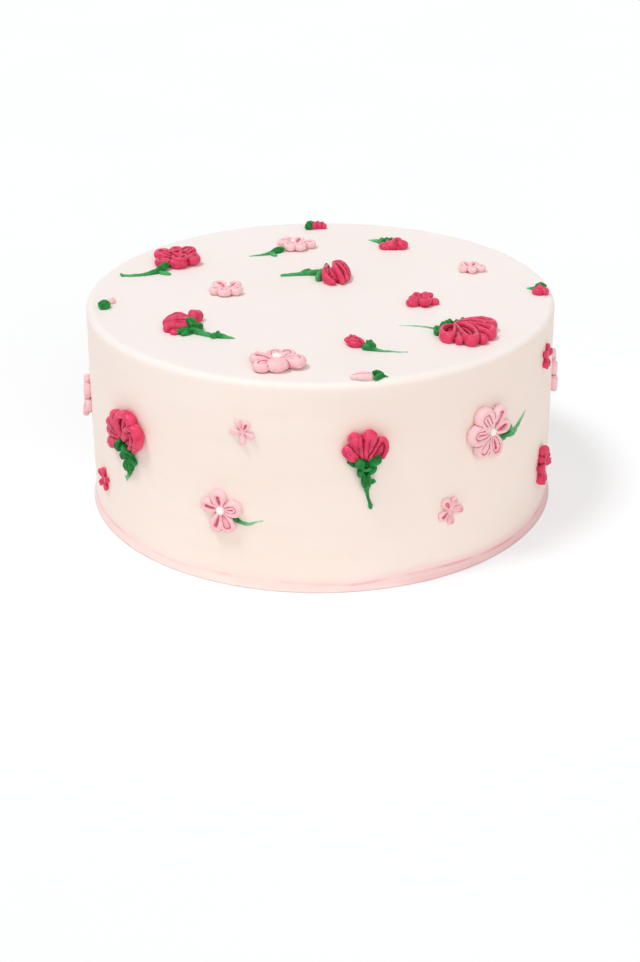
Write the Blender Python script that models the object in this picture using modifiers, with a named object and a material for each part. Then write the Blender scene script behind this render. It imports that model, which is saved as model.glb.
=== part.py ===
"""A round frosted cake with piped buttercream flowers on its top and its wall.

Lengths in the layout are millimetres, and Vector points are metres. A place on the wall is an azimuth
in degrees, 0 at the front (-Y) and growing towards +X, and a height above the base.
Each flower is laid out flat, u to its right, v up the wall or to the back of the top, and h off the frosting,
then set down on the cake, so the ones on the wall bend round it.
"""

import math

import bmesh
import bpy
from mathutils import Vector

MM = 0.001

# The cake: a 9 inch round of about 4 inches, under its frosting.
CAKE_HEIGHT = 103.5
BASE_RADIUS = 117.6
TOP_RADIUS = 116.0
EDGE_ROUNDING = 3.0
EDGE_STEPS = 5
FOOT_HEIGHT = 3.5
FOOT_FLARE = 1.2
CAKE_STEPS = 80

# Piping: a flower rests this far off the frosting, so that no two solids touch.
GAP = 0.3
CORE_SHARE = 0.28
LEAF_RISE = 2.4

COLOURS = {
    "frosting": (0.93, 0.80, 0.72),
    "red": (0.62, 0.04, 0.12),
    "pink": (0.88, 0.42, 0.45),
    "green": (0.03, 0.22, 0.07),
}
ROUGHNESS = 0.5


def clear_scene():
    for item in list(bpy.data.objects):
        bpy.data.objects.remove(item, do_unlink=True)


def new_collection(name):
    collection = bpy.data.collections.new(name)
    bpy.context.scene.collection.children.link(collection)
    return collection


def new_material(name, colour):
    material = bpy.data.materials.new(name)
    material.use_nodes = True
    shader = material.node_tree.nodes["Principled BSDF"]
    shader.inputs["Base Color"].default_value = (*colour, 1.0)
    shader.inputs["Roughness"].default_value = ROUGHNESS
    shader.inputs["Metallic"].default_value = 0.0
    return material


def wall_radius(height):
    """Radius of the cake's wall, which leans in a little towards the top."""
    return BASE_RADIUS + (TOP_RADIUS - BASE_RADIUS) * height / CAKE_HEIGHT


def on_top(x, y):
    """Sets flower points down on the cake's top, round the point x, y."""

    def place(u, v, h):
        return Vector((x + u, y + v, CAKE_HEIGHT + GAP + h)) * MM

    return place


def on_wall(azimuth, height):
    """Bends flower points round the cake's wall, about one place on it."""

    def place(u, v, h):
        angle = math.radians(azimuth) + u / BASE_RADIUS
        radius = wall_radius(height + v) + GAP + h
        return Vector((radius * math.sin(angle), -radius * math.cos(angle), height + v)) * MM

    return place


def add_object(name, mesh, colour, collection):
    """Turns a bmesh into a smooth-shaded object with a material of its own."""
    bmesh.ops.recalc_face_normals(mesh, faces=mesh.faces)
    data = bpy.data.meshes.new(name)
    mesh.to_mesh(data)
    mesh.free()
    data.shade_smooth()
    data.set_sharp_from_angle(angle=math.radians(50))
    item = bpy.data.objects.new(name, data)
    item.data.materials.append(new_material(name, COLOURS[colour]))
    collection.objects.link(item)
    return item


def loft(rings, start, end):
    """A closed bmesh through rings of as many points each, drawn to one point at either end."""
    mesh = bmesh.new()
    loops = [[mesh.verts.new(point) for point in ring] for ring in rings]
    first = mesh.verts.new(start)
    last = mesh.verts.new(end)
    count = len(rings[0])
    for i in range(count):
        j = (i + 1) % count
        mesh.faces.new((first, loops[0][j], loops[0][i]))
        for low, high in zip(loops, loops[1:]):
            mesh.faces.new((low[i], low[j], high[j], high[i]))
        mesh.faces.new((last, loops[-1][i], loops[-1][j]))
    return mesh


def cake(collection):
    """The frosted cake: a profile down the outside of the wall, turned round the axis."""
    centre = Vector((TOP_RADIUS - EDGE_ROUNDING, CAKE_HEIGHT - EDGE_ROUNDING))
    profile = [(0.0, CAKE_HEIGHT)]
    for step in range(EDGE_STEPS + 1):
        angle = math.radians(90 * (1 - step / EDGE_STEPS))
        profile.append((centre.x + EDGE_ROUNDING * math.cos(angle), centre.y + EDGE_ROUNDING * math.sin(angle)))
    profile.append((wall_radius(FOOT_HEIGHT), FOOT_HEIGHT))
    profile.append((wall_radius(FOOT_HEIGHT / 2) + FOOT_FLARE * 0.3, FOOT_HEIGHT * 0.45))
    profile.append((BASE_RADIUS + FOOT_FLARE, 0.0))
    profile.append((0.0, 0.0))
    outline = bmesh.new()
    points = [outline.verts.new((x * MM, 0.0, z * MM)) for x, z in profile]
    for upper, lower in zip(points, points[1:]):
        outline.edges.new((upper, lower))
    data = bpy.data.meshes.new("cake")
    outline.to_mesh(data)
    outline.free()
    item = bpy.data.objects.new("cake", data)
    item.data.materials.append(new_material("cake", COLOURS["frosting"]))
    collection.objects.link(item)
    turn = item.modifiers.new("turn", "SCREW")
    turn.steps = CAKE_STEPS
    turn.render_steps = CAKE_STEPS
    turn.use_merge_vertices = True
    turn.merge_threshold = 0.0001
    turn.use_smooth_shade = True
    return item


def petal_edge(angle, petals, width):
    """How far the outline of the petals reaches from the flower's middle, in one direction.

    A petal is a teardrop: a round end, and straight sides that run in to the middle.
    """
    radius = width / 2
    edge = CORE_SHARE * width
    for direction, reach in petals:
        swing = math.radians(angle - direction)
        along = (reach - radius) * math.cos(swing)
        aside = (reach - radius) * math.sin(swing)
        if along > 0 and abs(aside) < radius:
            edge = max(edge, along + math.sqrt(radius**2 - aside**2))
    return edge


def outline_directions(petals, width):
    """Directions that catch each petal's tip and shoulders, and the notches between petals."""
    found = []
    for direction, reach in petals:
        ratio = min(0.9, width / 2 / (reach - width / 2))
        shoulder = 0.72 * math.degrees(math.asin(ratio))
        found += [direction % 360, (direction - shoulder) % 360, (direction + shoulder) % 360]
    tips = sorted(direction % 360 for direction, reach in petals)
    for tip, following in zip(tips, tips[1:] + [tips[0] + 360]):
        parts = max(2, round((following - tip) / 55))
        found += [(tip + (following - tip) * part / parts) % 360 for part in range(1, parts)]
    kept = []
    for angle in found:
        if all(abs((angle - other + 180) % 360 - 180) > 7 for other in kept):
            kept.append(angle)
    return sorted(kept)


def flower(name, colour, place, petals, width, rise, collection):
    """An open flower: plump petals round a hollow middle. Each petal is (direction, reach)."""
    longest = max(reach for direction, reach in petals)
    foot, belly, crown, hollow = [], [], [], []
    for angle in outline_directions(petals, width):
        edge = petal_edge(angle, petals, width)
        across, up = math.cos(math.radians(angle)), math.sin(math.radians(angle))
        height = rise * (0.55 + 0.45 * edge / longest)
        for ring, reach, h in (
            (foot, edge - 0.12 * width, 0.0),
            (belly, edge, 0.42 * height),
            (crown, max(0.55 * edge, edge - 0.3 * width), height),
            (hollow, 0.35 * edge, 0.62 * height),
        ):
            ring.append(place(reach * across, reach * up, h))
    mesh = loft([foot, belly, crown, hollow], place(0, 0, 0), place(0, 0, 0.45 * rise))
    return add_object(name, mesh, colour, collection)


PLAIN_SECTION = ((-1, 0), (-1, 0.4), (-0.6, 0.87), (0, 1), (0.6, 0.87), (1, 0.4), (1, 0))
FOLDED_SECTION = (
    (-1, 0),
    (-1, 0.42),
    (-0.66, 0.86),
    (-0.34, 0.8),
    (0, 1),
    (0.34, 0.8),
    (0.66, 0.86),
    (1, 0.42),
    (1, 0),
)


def piped_run(place, path, widths, rise, section):
    """A flat-bottomed bead of icing piped along a path, as wide at each point as widths says."""
    points = [Vector(point) for point in path]
    rings = []
    for i, (point, width) in enumerate(zip(points, widths)):
        ahead = points[min(i + 1, len(points) - 1)] - points[max(i - 1, 0)]
        side = Vector((-ahead.y, ahead.x)).normalized() * width / 2
        height = rise * min(1.0, width / max(widths) + 0.15)
        rings.append([place(*(point + side * across), height * up) for across, up in section])
    ends = []
    for point, neighbour, width in ((points[0], points[1], widths[0]), (points[-1], points[-2], widths[-1])):
        tip = point + (point - neighbour).normalized() * width * 0.3
        ends.append(place(*tip, rise * 0.3 * min(1.0, width / max(widths) + 0.15)))
    return loft(rings, ends[0], ends[1])


def bud(name, place, colour, direction, length, width, rise, collection):
    """A closed bud that lies on the frosting: folded petals, widest past its middle."""
    heading = Vector((math.cos(math.radians(direction)), math.sin(math.radians(direction))))
    path, widths = [], []
    for share, swell in ((0.06, 0.5), (0.24, 0.84), (0.46, 0.98), (0.68, 1.0), (0.86, 0.82), (0.96, 0.5)):
        path.append(heading * length * (share - 0.5))
        widths.append(width * swell)
    mesh = piped_run(place, path, widths, rise, FOLDED_SECTION)
    return add_object(name, mesh, colour, collection)


def green(name, place, path, widths, rise, collection, helpers, leaves=()):
    """A calyx and its stem, with any leaf joined on. Each leaf is (from, to, width)."""
    item = add_object(name, piped_run(place, path, widths, rise, PLAIN_SECTION), "green", collection)
    for number, (root, tip, width) in enumerate(leaves, 1):
        root, tip = Vector(root), Vector(tip)
        mesh = piped_run(
            place,
            [root, root.lerp(tip, 0.5), tip],
            [width * 0.7, width, width * 0.55],
            LEAF_RISE,
            PLAIN_SECTION,
        )
        leaf = add_object(f"{name}_leaf_{number}", mesh, "green", helpers)
        leaf.hide_render = True
        leaf.display_type = "WIRE"
        union = item.modifiers.new(f"leaf {number}", "BOOLEAN")
        union.operation = "UNION"
        union.object = leaf
    return item


def evenly(count, first, reach):
    """Petals spread evenly all round, the first one in the direction given."""
    return [(first + 360 * i / count, reach) for i in range(count)]


def top_flowers(collection, helpers):
    """The flowers on the cake's top, from the back to the front."""

    def open_flower(number, colour, x, y, petals, width, rise):
        flower(f"flower_{colour}_top_{number}", colour, on_top(x, y), petals, width, rise, collection)

    def closed_bud(number, colour, x, y, direction, length, width, rise):
        bud(f"bud_{colour}_top_{number}", on_top(x, y), colour, direction, length, width, rise, collection)

    def stem(number, x, y, path, widths, rise, leaves=()):
        green(f"green_top_{number}", on_top(x, y), path, widths, rise, collection, helpers, leaves)

    closed_bud(1, "red", -0.2, 103.8, 0, 7.5, 8, 4.6)
    stem(1, -6.4, 103.8, [(0, 0), (-0.6, 0), (-1.2, 0)], [5, 6.5, 4.5], 4.2)

    open_flower(2, "pink", -13.2, 70.7, [(162, 10), (-118, 9), (-62, 9.4), (-2, 11.4), (68, 9), (124, 10)], 9, 4.5)
    stem(
        2,
        -13.2,
        70.7,
        [(-7.6, -7), (-12, -10.5), (-17, -12.2), (-24, -14)],
        [3.2, 4.6, 3, 1.8],
        3.2,
        [((-13, -11), (-10.5, -15), 3)],
    )

    closed_bud(3, "red", 39.5, 68.8, -80, 8.6, 15.5, 5.2)
    stem(3, 39.5, 68.8, [(-1.5, 9.8), (-6.5, 9.6), (-12.6, 13.8)], [4.4, 5, 1.8], 3.2)

    open_flower(4, "red", -75, 46, [(150, 13.4), (-145, 12.4), (99, 11), (56, 14.4), (-12, 13), (-76, 12)], 11, 6.3)
    stem(
        4,
        -75,
        46,
        [(-5.4, -11), (-8.4, -15.4), (-14, -18), (-20, -19.5), (-26.5, -19)],
        [4.6, 5.2, 4, 3, 3],
        3.6,
        [((-7, -14.5), (-1.5, -18.5), 3.4)],
    )

    open_flower(5, "pink", 77.8, 31.8, [(-150, 7.2), (-84, 6.6), (-16, 8), (60, 7), (122, 7.5)], 6, 3.5)

    open_flower(
        6, "red", 8.3, 19.4, [(90, 8.8), (30, 8), (-30, 8), (-90, 8.8), (-150, 8), (150, 8)], 10, 8.5
    )
    stem(
        6,
        8.3,
        19.4,
        [(-9.6, 8.8), (-14.3, 9.3), (-21.3, 6.7), (-28.3, 3.7)],
        [6.4, 5, 3.4, 2.6],
        3.8,
        [((-10.8, 8), (-10.8, 0.6), 3.6), ((-14.5, 9), (-13.5, 14), 2.6)],
    )

    closed_bud(7, "red", 109.4, -4, -95, 8.4, 7, 4.5)
    stem(7, 109.4, -4, [(2, 7.4), (-1.5, 7.6), (-5, 9)], [3.2, 3.6, 2], 2.8)

    open_flower(8, "pink", -46.8, 1.8, [(-150, 9.4), (-98, 8.8), (-35, 9.4), (45, 9.2), (128, 9.6)], 8, 4.2)

    open_flower(9, "red", 49.6, -17.6, [(112, 8.8), (66, 8.2), (-8, 8.6), (-78, 7.2), (-150, 8.8)], 6, 4)

    open_flower(
        10, "red", 63.4, -56.6, [(-116, 13.5), (-92, 16), (-70, 19), (-46, 20), (-20, 20.5), (14, 18.5)], 9, 6.5
    )
    stem(
        10,
        63.4,
        -56.6,
        [(-7.6, -4), (-6.6, 2), (-2, 6.6), (5, 8.6)],
        [3.4, 4.2, 4.2, 3.2],
        4,
        [((-5.6, 3.2), (-14, 7.8), 2.2), ((-13, 7.4), (-26, 10), 1.4)],
    )

    closed_bud(11, "pink", -103, -12.6, 60, 5.6, 5, 3.2)
    stem(11, -105.4, -19.2, [(-0.4, -1.8), (0, 0.2), (0.8, 2)], [5, 6.6, 5], 4.6)

    open_flower(12, "red", -62.2, -46.6, [(-158, 13), (178, 13.5), (146, 13), (98, 11.5), (66, 11)], 9, 6.5)
    stem(
        12,
        -62.2,
        -46.6,
        [(2, -4.8), (4.6, -7.6), (8.6, -10), (12.6, -12), (17.6, -14), (22, -15.5)],
        [6.5, 5.5, 3.4, 4.6, 3, 1.6],
        4,
        [((0.6, -6.6), (-5, -8.6), 4), ((4.4, -5), (8.4, -1.4), 3.6)],
    )

    closed_bud(13, "red", 15.6, -70.2, 140, 9.6, 7.5, 5)
    stem(13, 15.6, -70.2, [(6, -4.4), (8, -5.6), (13, -7.6), (22, -9)], [5.6, 3.6, 1.5, 1.2], 3.6)

    open_flower(14, "pink", -20, -94, [(-84, 11.6), (-136, 12.8), (172, 12), (95, 10.4), (48, 11.6), (-14, 14)], 10, 6)

    closed_bud(15, "pink", 18, -110, 172, 9.2, 6.4, 4)
    stem(15, 25.6, -109, [(-0.9, 0), (1, 0), (3, 0)], [6, 4.6, 1.4], 2.8)


def wall_flowers(collection, helpers):
    """The flowers on the wall, from the front's left round to its right, then round the back."""

    def open_flower(number, colour, azimuth, height, petals, width, rise):
        name = f"flower_{colour}_wall_{number}"
        flower(name, colour, on_wall(azimuth, height), petals, width, rise, collection)

    def stem(number, azimuth, height, path, widths, rise, leaves=()):
        name = f"green_wall_{number}"
        green(name, on_wall(azimuth, height), path, widths, rise, collection, helpers, leaves)

    open_flower(1, "pink", -83.6, 54.8, evenly(6, 100, 10.8), 9, 4.6)

    open_flower(2, "red", -51.6, 58.8, [(78, 17), (22, 17), (122, 15), (160, 14), (-160, 12.5), (-12, 14)], 10.5, 6.5)
    stem(
        2,
        -51.6,
        58.8,
        [(-1.4, -7.2), (1.4, -11.5), (2.2, -16), (-0.4, -23)],
        [6, 6.5, 5, 1.8],
        3.6,
        [((-1.6, -8), (-5.2, -10.8), 3.6), ((1.8, -10.6), (6.2, -13.4), 3.4)],
    )

    open_flower(3, "pink", -17.4, 79, [(115, 6.6), (58, 6), (-22, 6), (-92, 6.6), (180, 6.2)], 3.8, 2.4)

    open_flower(4, "red", -65.6, 25.3, evenly(5, 84, 6.4), 5, 2.6)

    open_flower(5, "pink", -23.1, 38.3, [(97, 10.5), (166, 10.2), (-104, 11.5), (-60, 11.5), (16, 11)], 7, 3.4)
    stem(5, -23.1, 38.3, [(7.6, -4.8), (10, -5.4), (13, -5.2), (19.4, -3.8)], [2, 2, 1.6, 1], 1.4)

    open_flower(6, "red", 9.4, 67.3, [(152, 12.5), (115, 14.5), (82, 15.2), (46, 13.4)], 8.5, 6)
    stem(
        6,
        9.4,
        67.3,
        [(0.4, -5.2), (0.6, -10), (0.6, -15), (1.2, -20), (2.2, -25.4)],
        [9.5, 8.5, 6, 2.4, 2.6],
        4.2,
        [((-3, -5), (-6.8, -4.4), 3.8), ((3.5, -4.6), (6.6, -3.8), 4), ((2, -14), (4.8, -12.8), 2.6)],
    )

    open_flower(
        7, "pink", 41.7, 67.2, [(124, 16), (74, 13.5), (20, 10.4), (172, 15.5), (-136, 14), (-88, 12.5)], 9.5, 5
    )
    stem(
        7,
        41.7,
        67.2,
        [(9.6, -4.6), (13, -6.4), (17.4, -7), (22, -5), (30, -1)],
        [2.4, 4.4, 4, 2, 1.2],
        2.6,
        [((16.4, -6.6), (13.6, -0.4), 2.8)],
    )

    open_flower(8, "pink", 30.2, 34, [(118, 7.2), (60, 6.6), (-16, 7), (-90, 7.4), (-160, 7)], 4, 2.4)

    open_flower(9, "red", 68.2, 86.2, evenly(5, 78, 6.8), 5, 2.4)

    open_flower(10, "pink", 88.8, 62, evenly(6, 90, 11.8), 9.5, 4)

    open_flower(11, "red", 67.5, 29.3, [(98, 10.5), (72, 10), (180, 7.5), (-8, 9), (-112, 10.5), (-80, 10)], 6.5, 4.8)

    open_flower(12, "pink", 112, 28, evenly(5, 70, 6.8), 4, 2.4)

    open_flower(13, "red", 127, 64, [(140, 13.5), (104, 15.5), (70, 15), (34, 13)], 8.5, 6)
    stem(
        13,
        127,
        64,
        [(0, -5.3), (-0.4, -10), (-1, -15), (-2.4, -23)],
        [9, 7.5, 4.5, 2.2],
        4,
        [((-1.5, -12.5), (-5.4, -11.5), 2.6)],
    )

    open_flower(14, "pink", 146, 32, evenly(5, 18, 11), 7, 3.4)
    stem(14, 146, 32, [(-8.2, -5.4), (-10.6, -6), (-13.6, -5.8), (-19, -4)], [2, 2, 1.6, 1], 1.4)

    open_flower(15, "red", 155, 84, evenly(5, 50, 7), 5, 3)

    open_flower(16, "red", 176, 56, [(150, 15), (118, 16), (84, 17), (40, 15)], 10, 6.5)
    stem(
        16,
        176,
        56,
        [(0, -5.4), (1.4, -10), (3.6, -15), (5.6, -21)],
        [8.5, 7, 4.5, 2],
        3.8,
        [((2.5, -12), (7, -11), 3)],
    )

    open_flower(17, "pink", 184, 22, evenly(5, 100, 7), 4, 2.4)

    open_flower(18, "pink", 203, 76, evenly(6, 20, 13), 9.5, 5)
    stem(
        18,
        203,
        76,
        [(-10.8, -6.8), (-14, -9.2), (-18, -10.6), (-25, -10)],
        [2.4, 4.2, 3, 1.4],
        2.6,
        [((-15.5, -9.6), (-17, -15), 2.8)],
    )

    open_flower(19, "red", 211, 34, evenly(5, 20, 8), 5.5, 3.4)

    open_flower(20, "red", 235, 60, [(146, 13), (108, 15), (74, 15.5), (36, 13.5)], 8.5, 6)
    stem(
        20,
        235,
        60,
        [(0, -5.3), (0.6, -10), (1.6, -15), (1.2, -23)],
        [9, 7.5, 4.8, 2.2],
        4,
        [((-0.8, -11.5), (-5.6, -12), 3)],
    )

    open_flower(21, "pink", 246, 24, evenly(5, 40, 10.5), 7, 3.4)

    open_flower(22, "pink", 254, 86, evenly(5, 75, 6.8), 4, 2.4)


def main():
    clear_scene()
    collection = new_collection("flower_cake")
    helpers = new_collection("flower_cake_helpers")
    cake(collection)
    top_flowers(collection, helpers)
    wall_flowers(collection, helpers)


main()
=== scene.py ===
import math

import bpy
import numpy as np
from mathutils import Matrix, Vector


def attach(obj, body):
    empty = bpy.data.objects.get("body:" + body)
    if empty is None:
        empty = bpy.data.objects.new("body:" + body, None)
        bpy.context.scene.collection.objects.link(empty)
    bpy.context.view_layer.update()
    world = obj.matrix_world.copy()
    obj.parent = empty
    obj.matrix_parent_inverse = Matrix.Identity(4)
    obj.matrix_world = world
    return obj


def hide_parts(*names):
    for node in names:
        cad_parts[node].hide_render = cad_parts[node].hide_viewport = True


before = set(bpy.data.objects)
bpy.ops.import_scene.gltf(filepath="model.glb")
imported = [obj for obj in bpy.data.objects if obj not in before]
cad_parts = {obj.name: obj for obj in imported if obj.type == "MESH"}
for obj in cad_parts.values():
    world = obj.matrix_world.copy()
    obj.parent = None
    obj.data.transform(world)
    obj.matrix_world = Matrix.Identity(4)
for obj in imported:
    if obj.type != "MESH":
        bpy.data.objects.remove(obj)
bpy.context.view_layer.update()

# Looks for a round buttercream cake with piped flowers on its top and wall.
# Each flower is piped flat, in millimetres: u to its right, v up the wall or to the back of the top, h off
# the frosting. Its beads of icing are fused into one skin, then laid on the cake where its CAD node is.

MM = 0.001
RANDOM = np.random.default_rng(30)

# The cake, as in the CAD part.
CAKE_HEIGHT = 103.5
BASE_RADIUS = 117.6
TOP_RADIUS = 116.0
EDGE_ROUNDING = 3.2
FOOT_HEIGHT = 3.5
FOOT_FLARE = 1.2
SINK = 0.35

# How finely the icing's skin is made.
PETAL_VOXEL = 0.34
GREEN_VOXEL = 0.29
SMALL_VOXEL = 0.28


def wall_radius(height):
    return BASE_RADIUS + (TOP_RADIUS - BASE_RADIUS) * height / CAKE_HEIGHT


def link(item):
    bpy.context.scene.collection.objects.link(item)
    return item


def smooth_step(low, high, value):
    t = np.clip((value - low) / (high - low), 0, 1)
    return t * t * (3 - 2 * t)


# ---------------------------------------------------------------- beads of icing


def smooth_rows(rows, step):
    """Control rows joined by a Catmull-Rom curve and cut into steps of about this length."""
    if len(rows) == 2:
        rows = np.array([rows[0], (rows[0] + rows[1]) / 2, rows[1]])
    padded = np.vstack([2 * rows[0] - rows[1], rows, 2 * rows[-1] - rows[-2]])
    found = []
    for a, b, c, d in zip(padded, padded[1:], padded[2:], padded[3:]):
        count = max(2, int(np.linalg.norm((c - b)[:3]) / step))
        square, cube = 2 * a - 5 * b + 4 * c - d, 3 * b - a - 3 * c + d
        for t in np.arange(count) / count:
            found.append(0.5 * (2 * b + (c - a) * t + square * t**2 + cube * t**3))
    found.append(rows[-1])
    return np.array(found)


def along(values, count):
    values = np.atleast_1d(np.asarray(values, float))
    if len(values) == count:
        return values
    return np.interp(np.linspace(0, 1, count), np.linspace(0, 1, len(values)), values)


class Piping:
    """Closed beads of icing, gathered to be fused."""

    def __init__(self):
        self.points, self.faces, self.marks, self.count = [], [], [], 0

    def skin(self, centres, across, above, side, up, first, last, tone):
        sides = 14
        turn = np.arange(sides) * 2 * np.pi / sides
        rings = (
            centres[:, None, :]
            + across[:, None, :] * (side[:, None] * np.cos(turn))[:, :, None]
            + above[:, None, :] * (up[:, None] * np.sin(turn))[:, :, None]
        )
        start = self.count
        self.points += [rings.reshape(-1, 3), [first], [last]]
        rows = len(centres)
        for i in range(rows - 1):
            for j in range(sides):
                k = (j + 1) % sides
                a, b = start + i * sides, start + (i + 1) * sides
                self.faces.append((a + j, a + k, b + k, b + j))
        pole = start + rows * sides
        for j in range(sides):
            k = (j + 1) % sides
            self.faces.append((pole, start + k, start + j))
            a = start + (rows - 1) * sides
            self.faces.append((pole + 1, a + j, a + k))
        self.count = pole + 2
        # Each ring's tone is kept for the skin: on red and pink icing it sets the painted shade of hollows and
        # middles, on green icing the fade of a stem to pale.
        for point, width, height, value in zip(centres, side, up, tone):
            self.marks.append((*point, max(0.3, min(width, height)), value))

    def bead(self, path, side, up=None, tone=0.0):
        """A bead along a path, its half width and half height given along it. Its ends are round."""
        path = np.asarray(path, float)
        count = len(path)
        side = along(side, count)
        up = side if up is None else along(up, count)
        rows = smooth_rows(np.column_stack([path, side, up, along(tone, count)]), 0.6)
        centre, side, up, tone = rows[:, :3], np.maximum(rows[:, 3], 0.08), np.maximum(rows[:, 4],
                                                                                       0.08), rows[:, 5]
        ahead = np.gradient(centre, axis=0)
        ahead /= np.linalg.norm(ahead, axis=1)[:, None] + 1e-9
        across = np.cross(ahead, (0.0, 0.0, 1.0))
        for i in range(len(across)):
            size = np.linalg.norm(across[i])
            across[i] = across[i] / size if size > 0.15 else (across[i - 1] if i else np.array([1.0, 0, 0]))
        above = np.cross(across, ahead)
        cap = np.radians([66, 40, 18])
        parts = []
        for end, sign, angles in ((0, -1, cap), (-1, 1, cap[::-1])):
            length = min(side[end], up[end] * 1.2)
            parts.append(
                [
                    centre[end] + ahead[end] * sign * length * np.sin(angles)[:, None],
                    np.repeat(across[end : end + 1 or None], 3, 0),
                    np.repeat(above[end : end + 1 or None], 3, 0),
                    side[end] * np.cos(angles),
                    up[end] * np.cos(angles),
                    np.full(3, tone[end]),
                    centre[end] + ahead[end] * sign * length,
                ]
            )
        a, b = parts
        self.skin(
            np.vstack([a[0], centre, b[0]]),
            np.vstack([a[1], across, b[1]]),
            np.vstack([a[2], above, b[2]]),
            np.concatenate([a[3], side, b[3]]),
            np.concatenate([a[4], up, b[4]]),
            a[6],
            b[6],
            np.concatenate([a[5], tone, b[5]]),
        )

    def blob(self, u, v, top, length, width, direction=0.0, low=-0.4, tone=0.0):
        """A rounded lump from the height low up to top."""
        angle = math.radians(direction)
        ahead = np.array([math.cos(angle), math.sin(angle), 0.0])
        aside = np.array([-ahead[1], ahead[0], 0.0])
        middle = np.array([u, v, (top + low) / 2])
        slices = np.radians(np.linspace(-72, 72, 9))
        self.skin(
            middle + ahead * (length / 2) * np.sin(slices)[:, None],
            np.repeat(-aside[None, :], 9, 0),
            np.repeat([[0.0, 0.0, 1.0]], 9, 0),
            width / 2 * np.cos(slices),
            (top - low) / 2 * np.cos(slices),
            middle - ahead * length / 2,
            middle + ahead * length / 2,
            np.full(9, tone),
        )

    def rim(self, path, half, up=None, tone=0.0):
        """A bead whose path is given by its crest: each point is (u, v, top)."""
        count = len(path)
        half = along(half, count)
        up = 1.3 * half if up is None else along(up, count)
        self.bead([(u, v, top - high) for (u, v, top), high in zip(path, up)], half, up, tone)

    def bed(self, path, half, tone=1.0):
        """Icing that fills a petal from the frosting up: each point is (u, v, top). Its tone, 1 unless given,
        sets its painted shade.
        """
        rows = [(u, v, (top - 0.4) / 2) for u, v, top in path]
        self.bead(rows, half, [(top + 0.4) / 2 for u, v, top in path], tone)

    def petal(self, direction, reach, width, top, kind="loop", rim=0.36, floor=0.5, root=0.8, low=0.62,
              bend=0.0):
        """One petal, from the flower's middle out to its round end.

        loop: a thick rim round a hollow. double: a loop with a thinner one inside it. curl: a loop whose end
        turns back inside it. fold: a rim round a full belly. plump: one full bead. finger: a bead with a ridge
        along one side.
        """
        radius = width / 2
        middle = max(reach - radius, 0.4 * reach)
        angle = math.radians(direction)
        cosine, sine = math.cos(angle), math.sin(angle)

        def lay(x, y, h):
            y = y + bend * x * x / max(reach, 1)
            return (x * cosine - y * sine, x * sine + y * cosine, h)

        def crest(x):
            share = min(1.0, max(0.0, (x - root) / max(middle - root, 0.1)))
            return top * (low + (1 - low) * share * share * (3 - 2 * share))

        def fill(full, y, half, narrow, power=1.0, tone=0.0):
            """A bead from the frosting up, along the petal, that widens to half at its end."""
            path, side, up = [], [], []
            for share in np.linspace(0, 1, 6):
                x = root + (middle - root) * share
                high = full * crest(x)
                path.append(lay(x, y, (high - 0.4) / 2))
                side.append(half * math.sin(math.radians(narrow + (90 - narrow) * share)) ** power)
                up.append((high + 0.4) / 2)
            self.bead(path, side, up, tone)

        if kind == "double":
            self.petal(direction, reach, width, top, "loop", rim, floor, root, low, bend)
            # A second, thinner turn of the bead inside the first.
            half = 0.5 * rim * radius
            ring = radius * (1 - 2 * rim) - 0.55 * half
            path, side = [], []
            for degrees in np.linspace(-158, 158, 15):
                a = math.radians(degrees)
                if math.cos(a) >= 0:
                    x, y = middle + ring * math.cos(a), ring * math.sin(a)
                else:
                    x = middle + 0.8 * (middle - root) * math.cos(a)
                    y = ring * math.sin(a) * abs(math.sin(a)) ** 0.3
                path.append(lay(x, y, 0.80 * crest(x) - half))
                side.append(half)
            self.bead(path, side, [1.5 * half] * len(path))
        elif kind in ("loop", "fold", "curl"):
            half = rim * radius
            ring = radius - half
            path, side, up = [], [], []
            last = 200 if kind == "curl" else 162
            for degrees in np.linspace(-162, last, 21 if kind == "curl" else 17):
                a = math.radians(degrees)
                if math.cos(a) >= 0:
                    x, y = middle + ring * math.cos(a), ring * math.sin(a)
                else:
                    x = middle + (middle - root) * math.cos(a)
                    y = ring * math.sin(a) * abs(math.sin(a)) ** 0.35
                share = min(1.0, max(0.0, (x - root) / max(middle - root, 0.1)))
                thick = half * (0.62 + 0.38 * share) * RANDOM.uniform(0.96, 1.04)
                high = min(0.5 * crest(x) + 0.2, 1.35 * thick)
                path.append(lay(x, y, crest(x) - high))
                side.append(thick)
                up.append(high)
            self.bead(path, side, up)
            # The petal is filled under its rim; in a loop or a curl the fill's tone of 1 gives the hollow's
            # floor painted shade.
            if kind == "fold":
                fill(max(floor, 0.98), 0, radius - 0.75 * half, 18, 0.9)
            else:
                fill(floor, 0, radius - 0.5 * half, 18, 0.9, tone=1.0)
            if kind == "curl":
                self.bead(
                    [
                        lay(middle + 0.45 * ring, 0.15 * radius, 0.62 * crest(middle)),
                        lay(middle - 0.1 * ring, 0.3 * radius, 0.66 * crest(middle)),
                        lay(root + 0.45 * (middle - root), 0.12 * radius, 0.5 * crest(middle)),
                    ],
                    [0.26 * radius, 0.3 * radius, 0.2 * radius],
                    [0.3 * radius, 0.34 * radius, 0.24 * radius],
                )
        elif kind == "plump":
            fill(1, 0, radius, 24)
        elif kind == "finger":
            fill(1, -0.12 * radius, 0.88 * radius, 26)
            path, side, up = [], [], []
            for share in np.linspace(0.1, 1, 6):
                x = root + (middle + 0.35 * radius - root) * share
                high = 0.93 * crest(x)
                path.append(lay(x, 0.56 * radius * math.sin(math.radians(30 + 60 * share)),
                                high - 0.42 * radius))
                side.append(0.42 * radius * math.sin(math.radians(40 + 50 * share)))
                up.append(0.46 * radius)
            self.bead(path, side, up)

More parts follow.
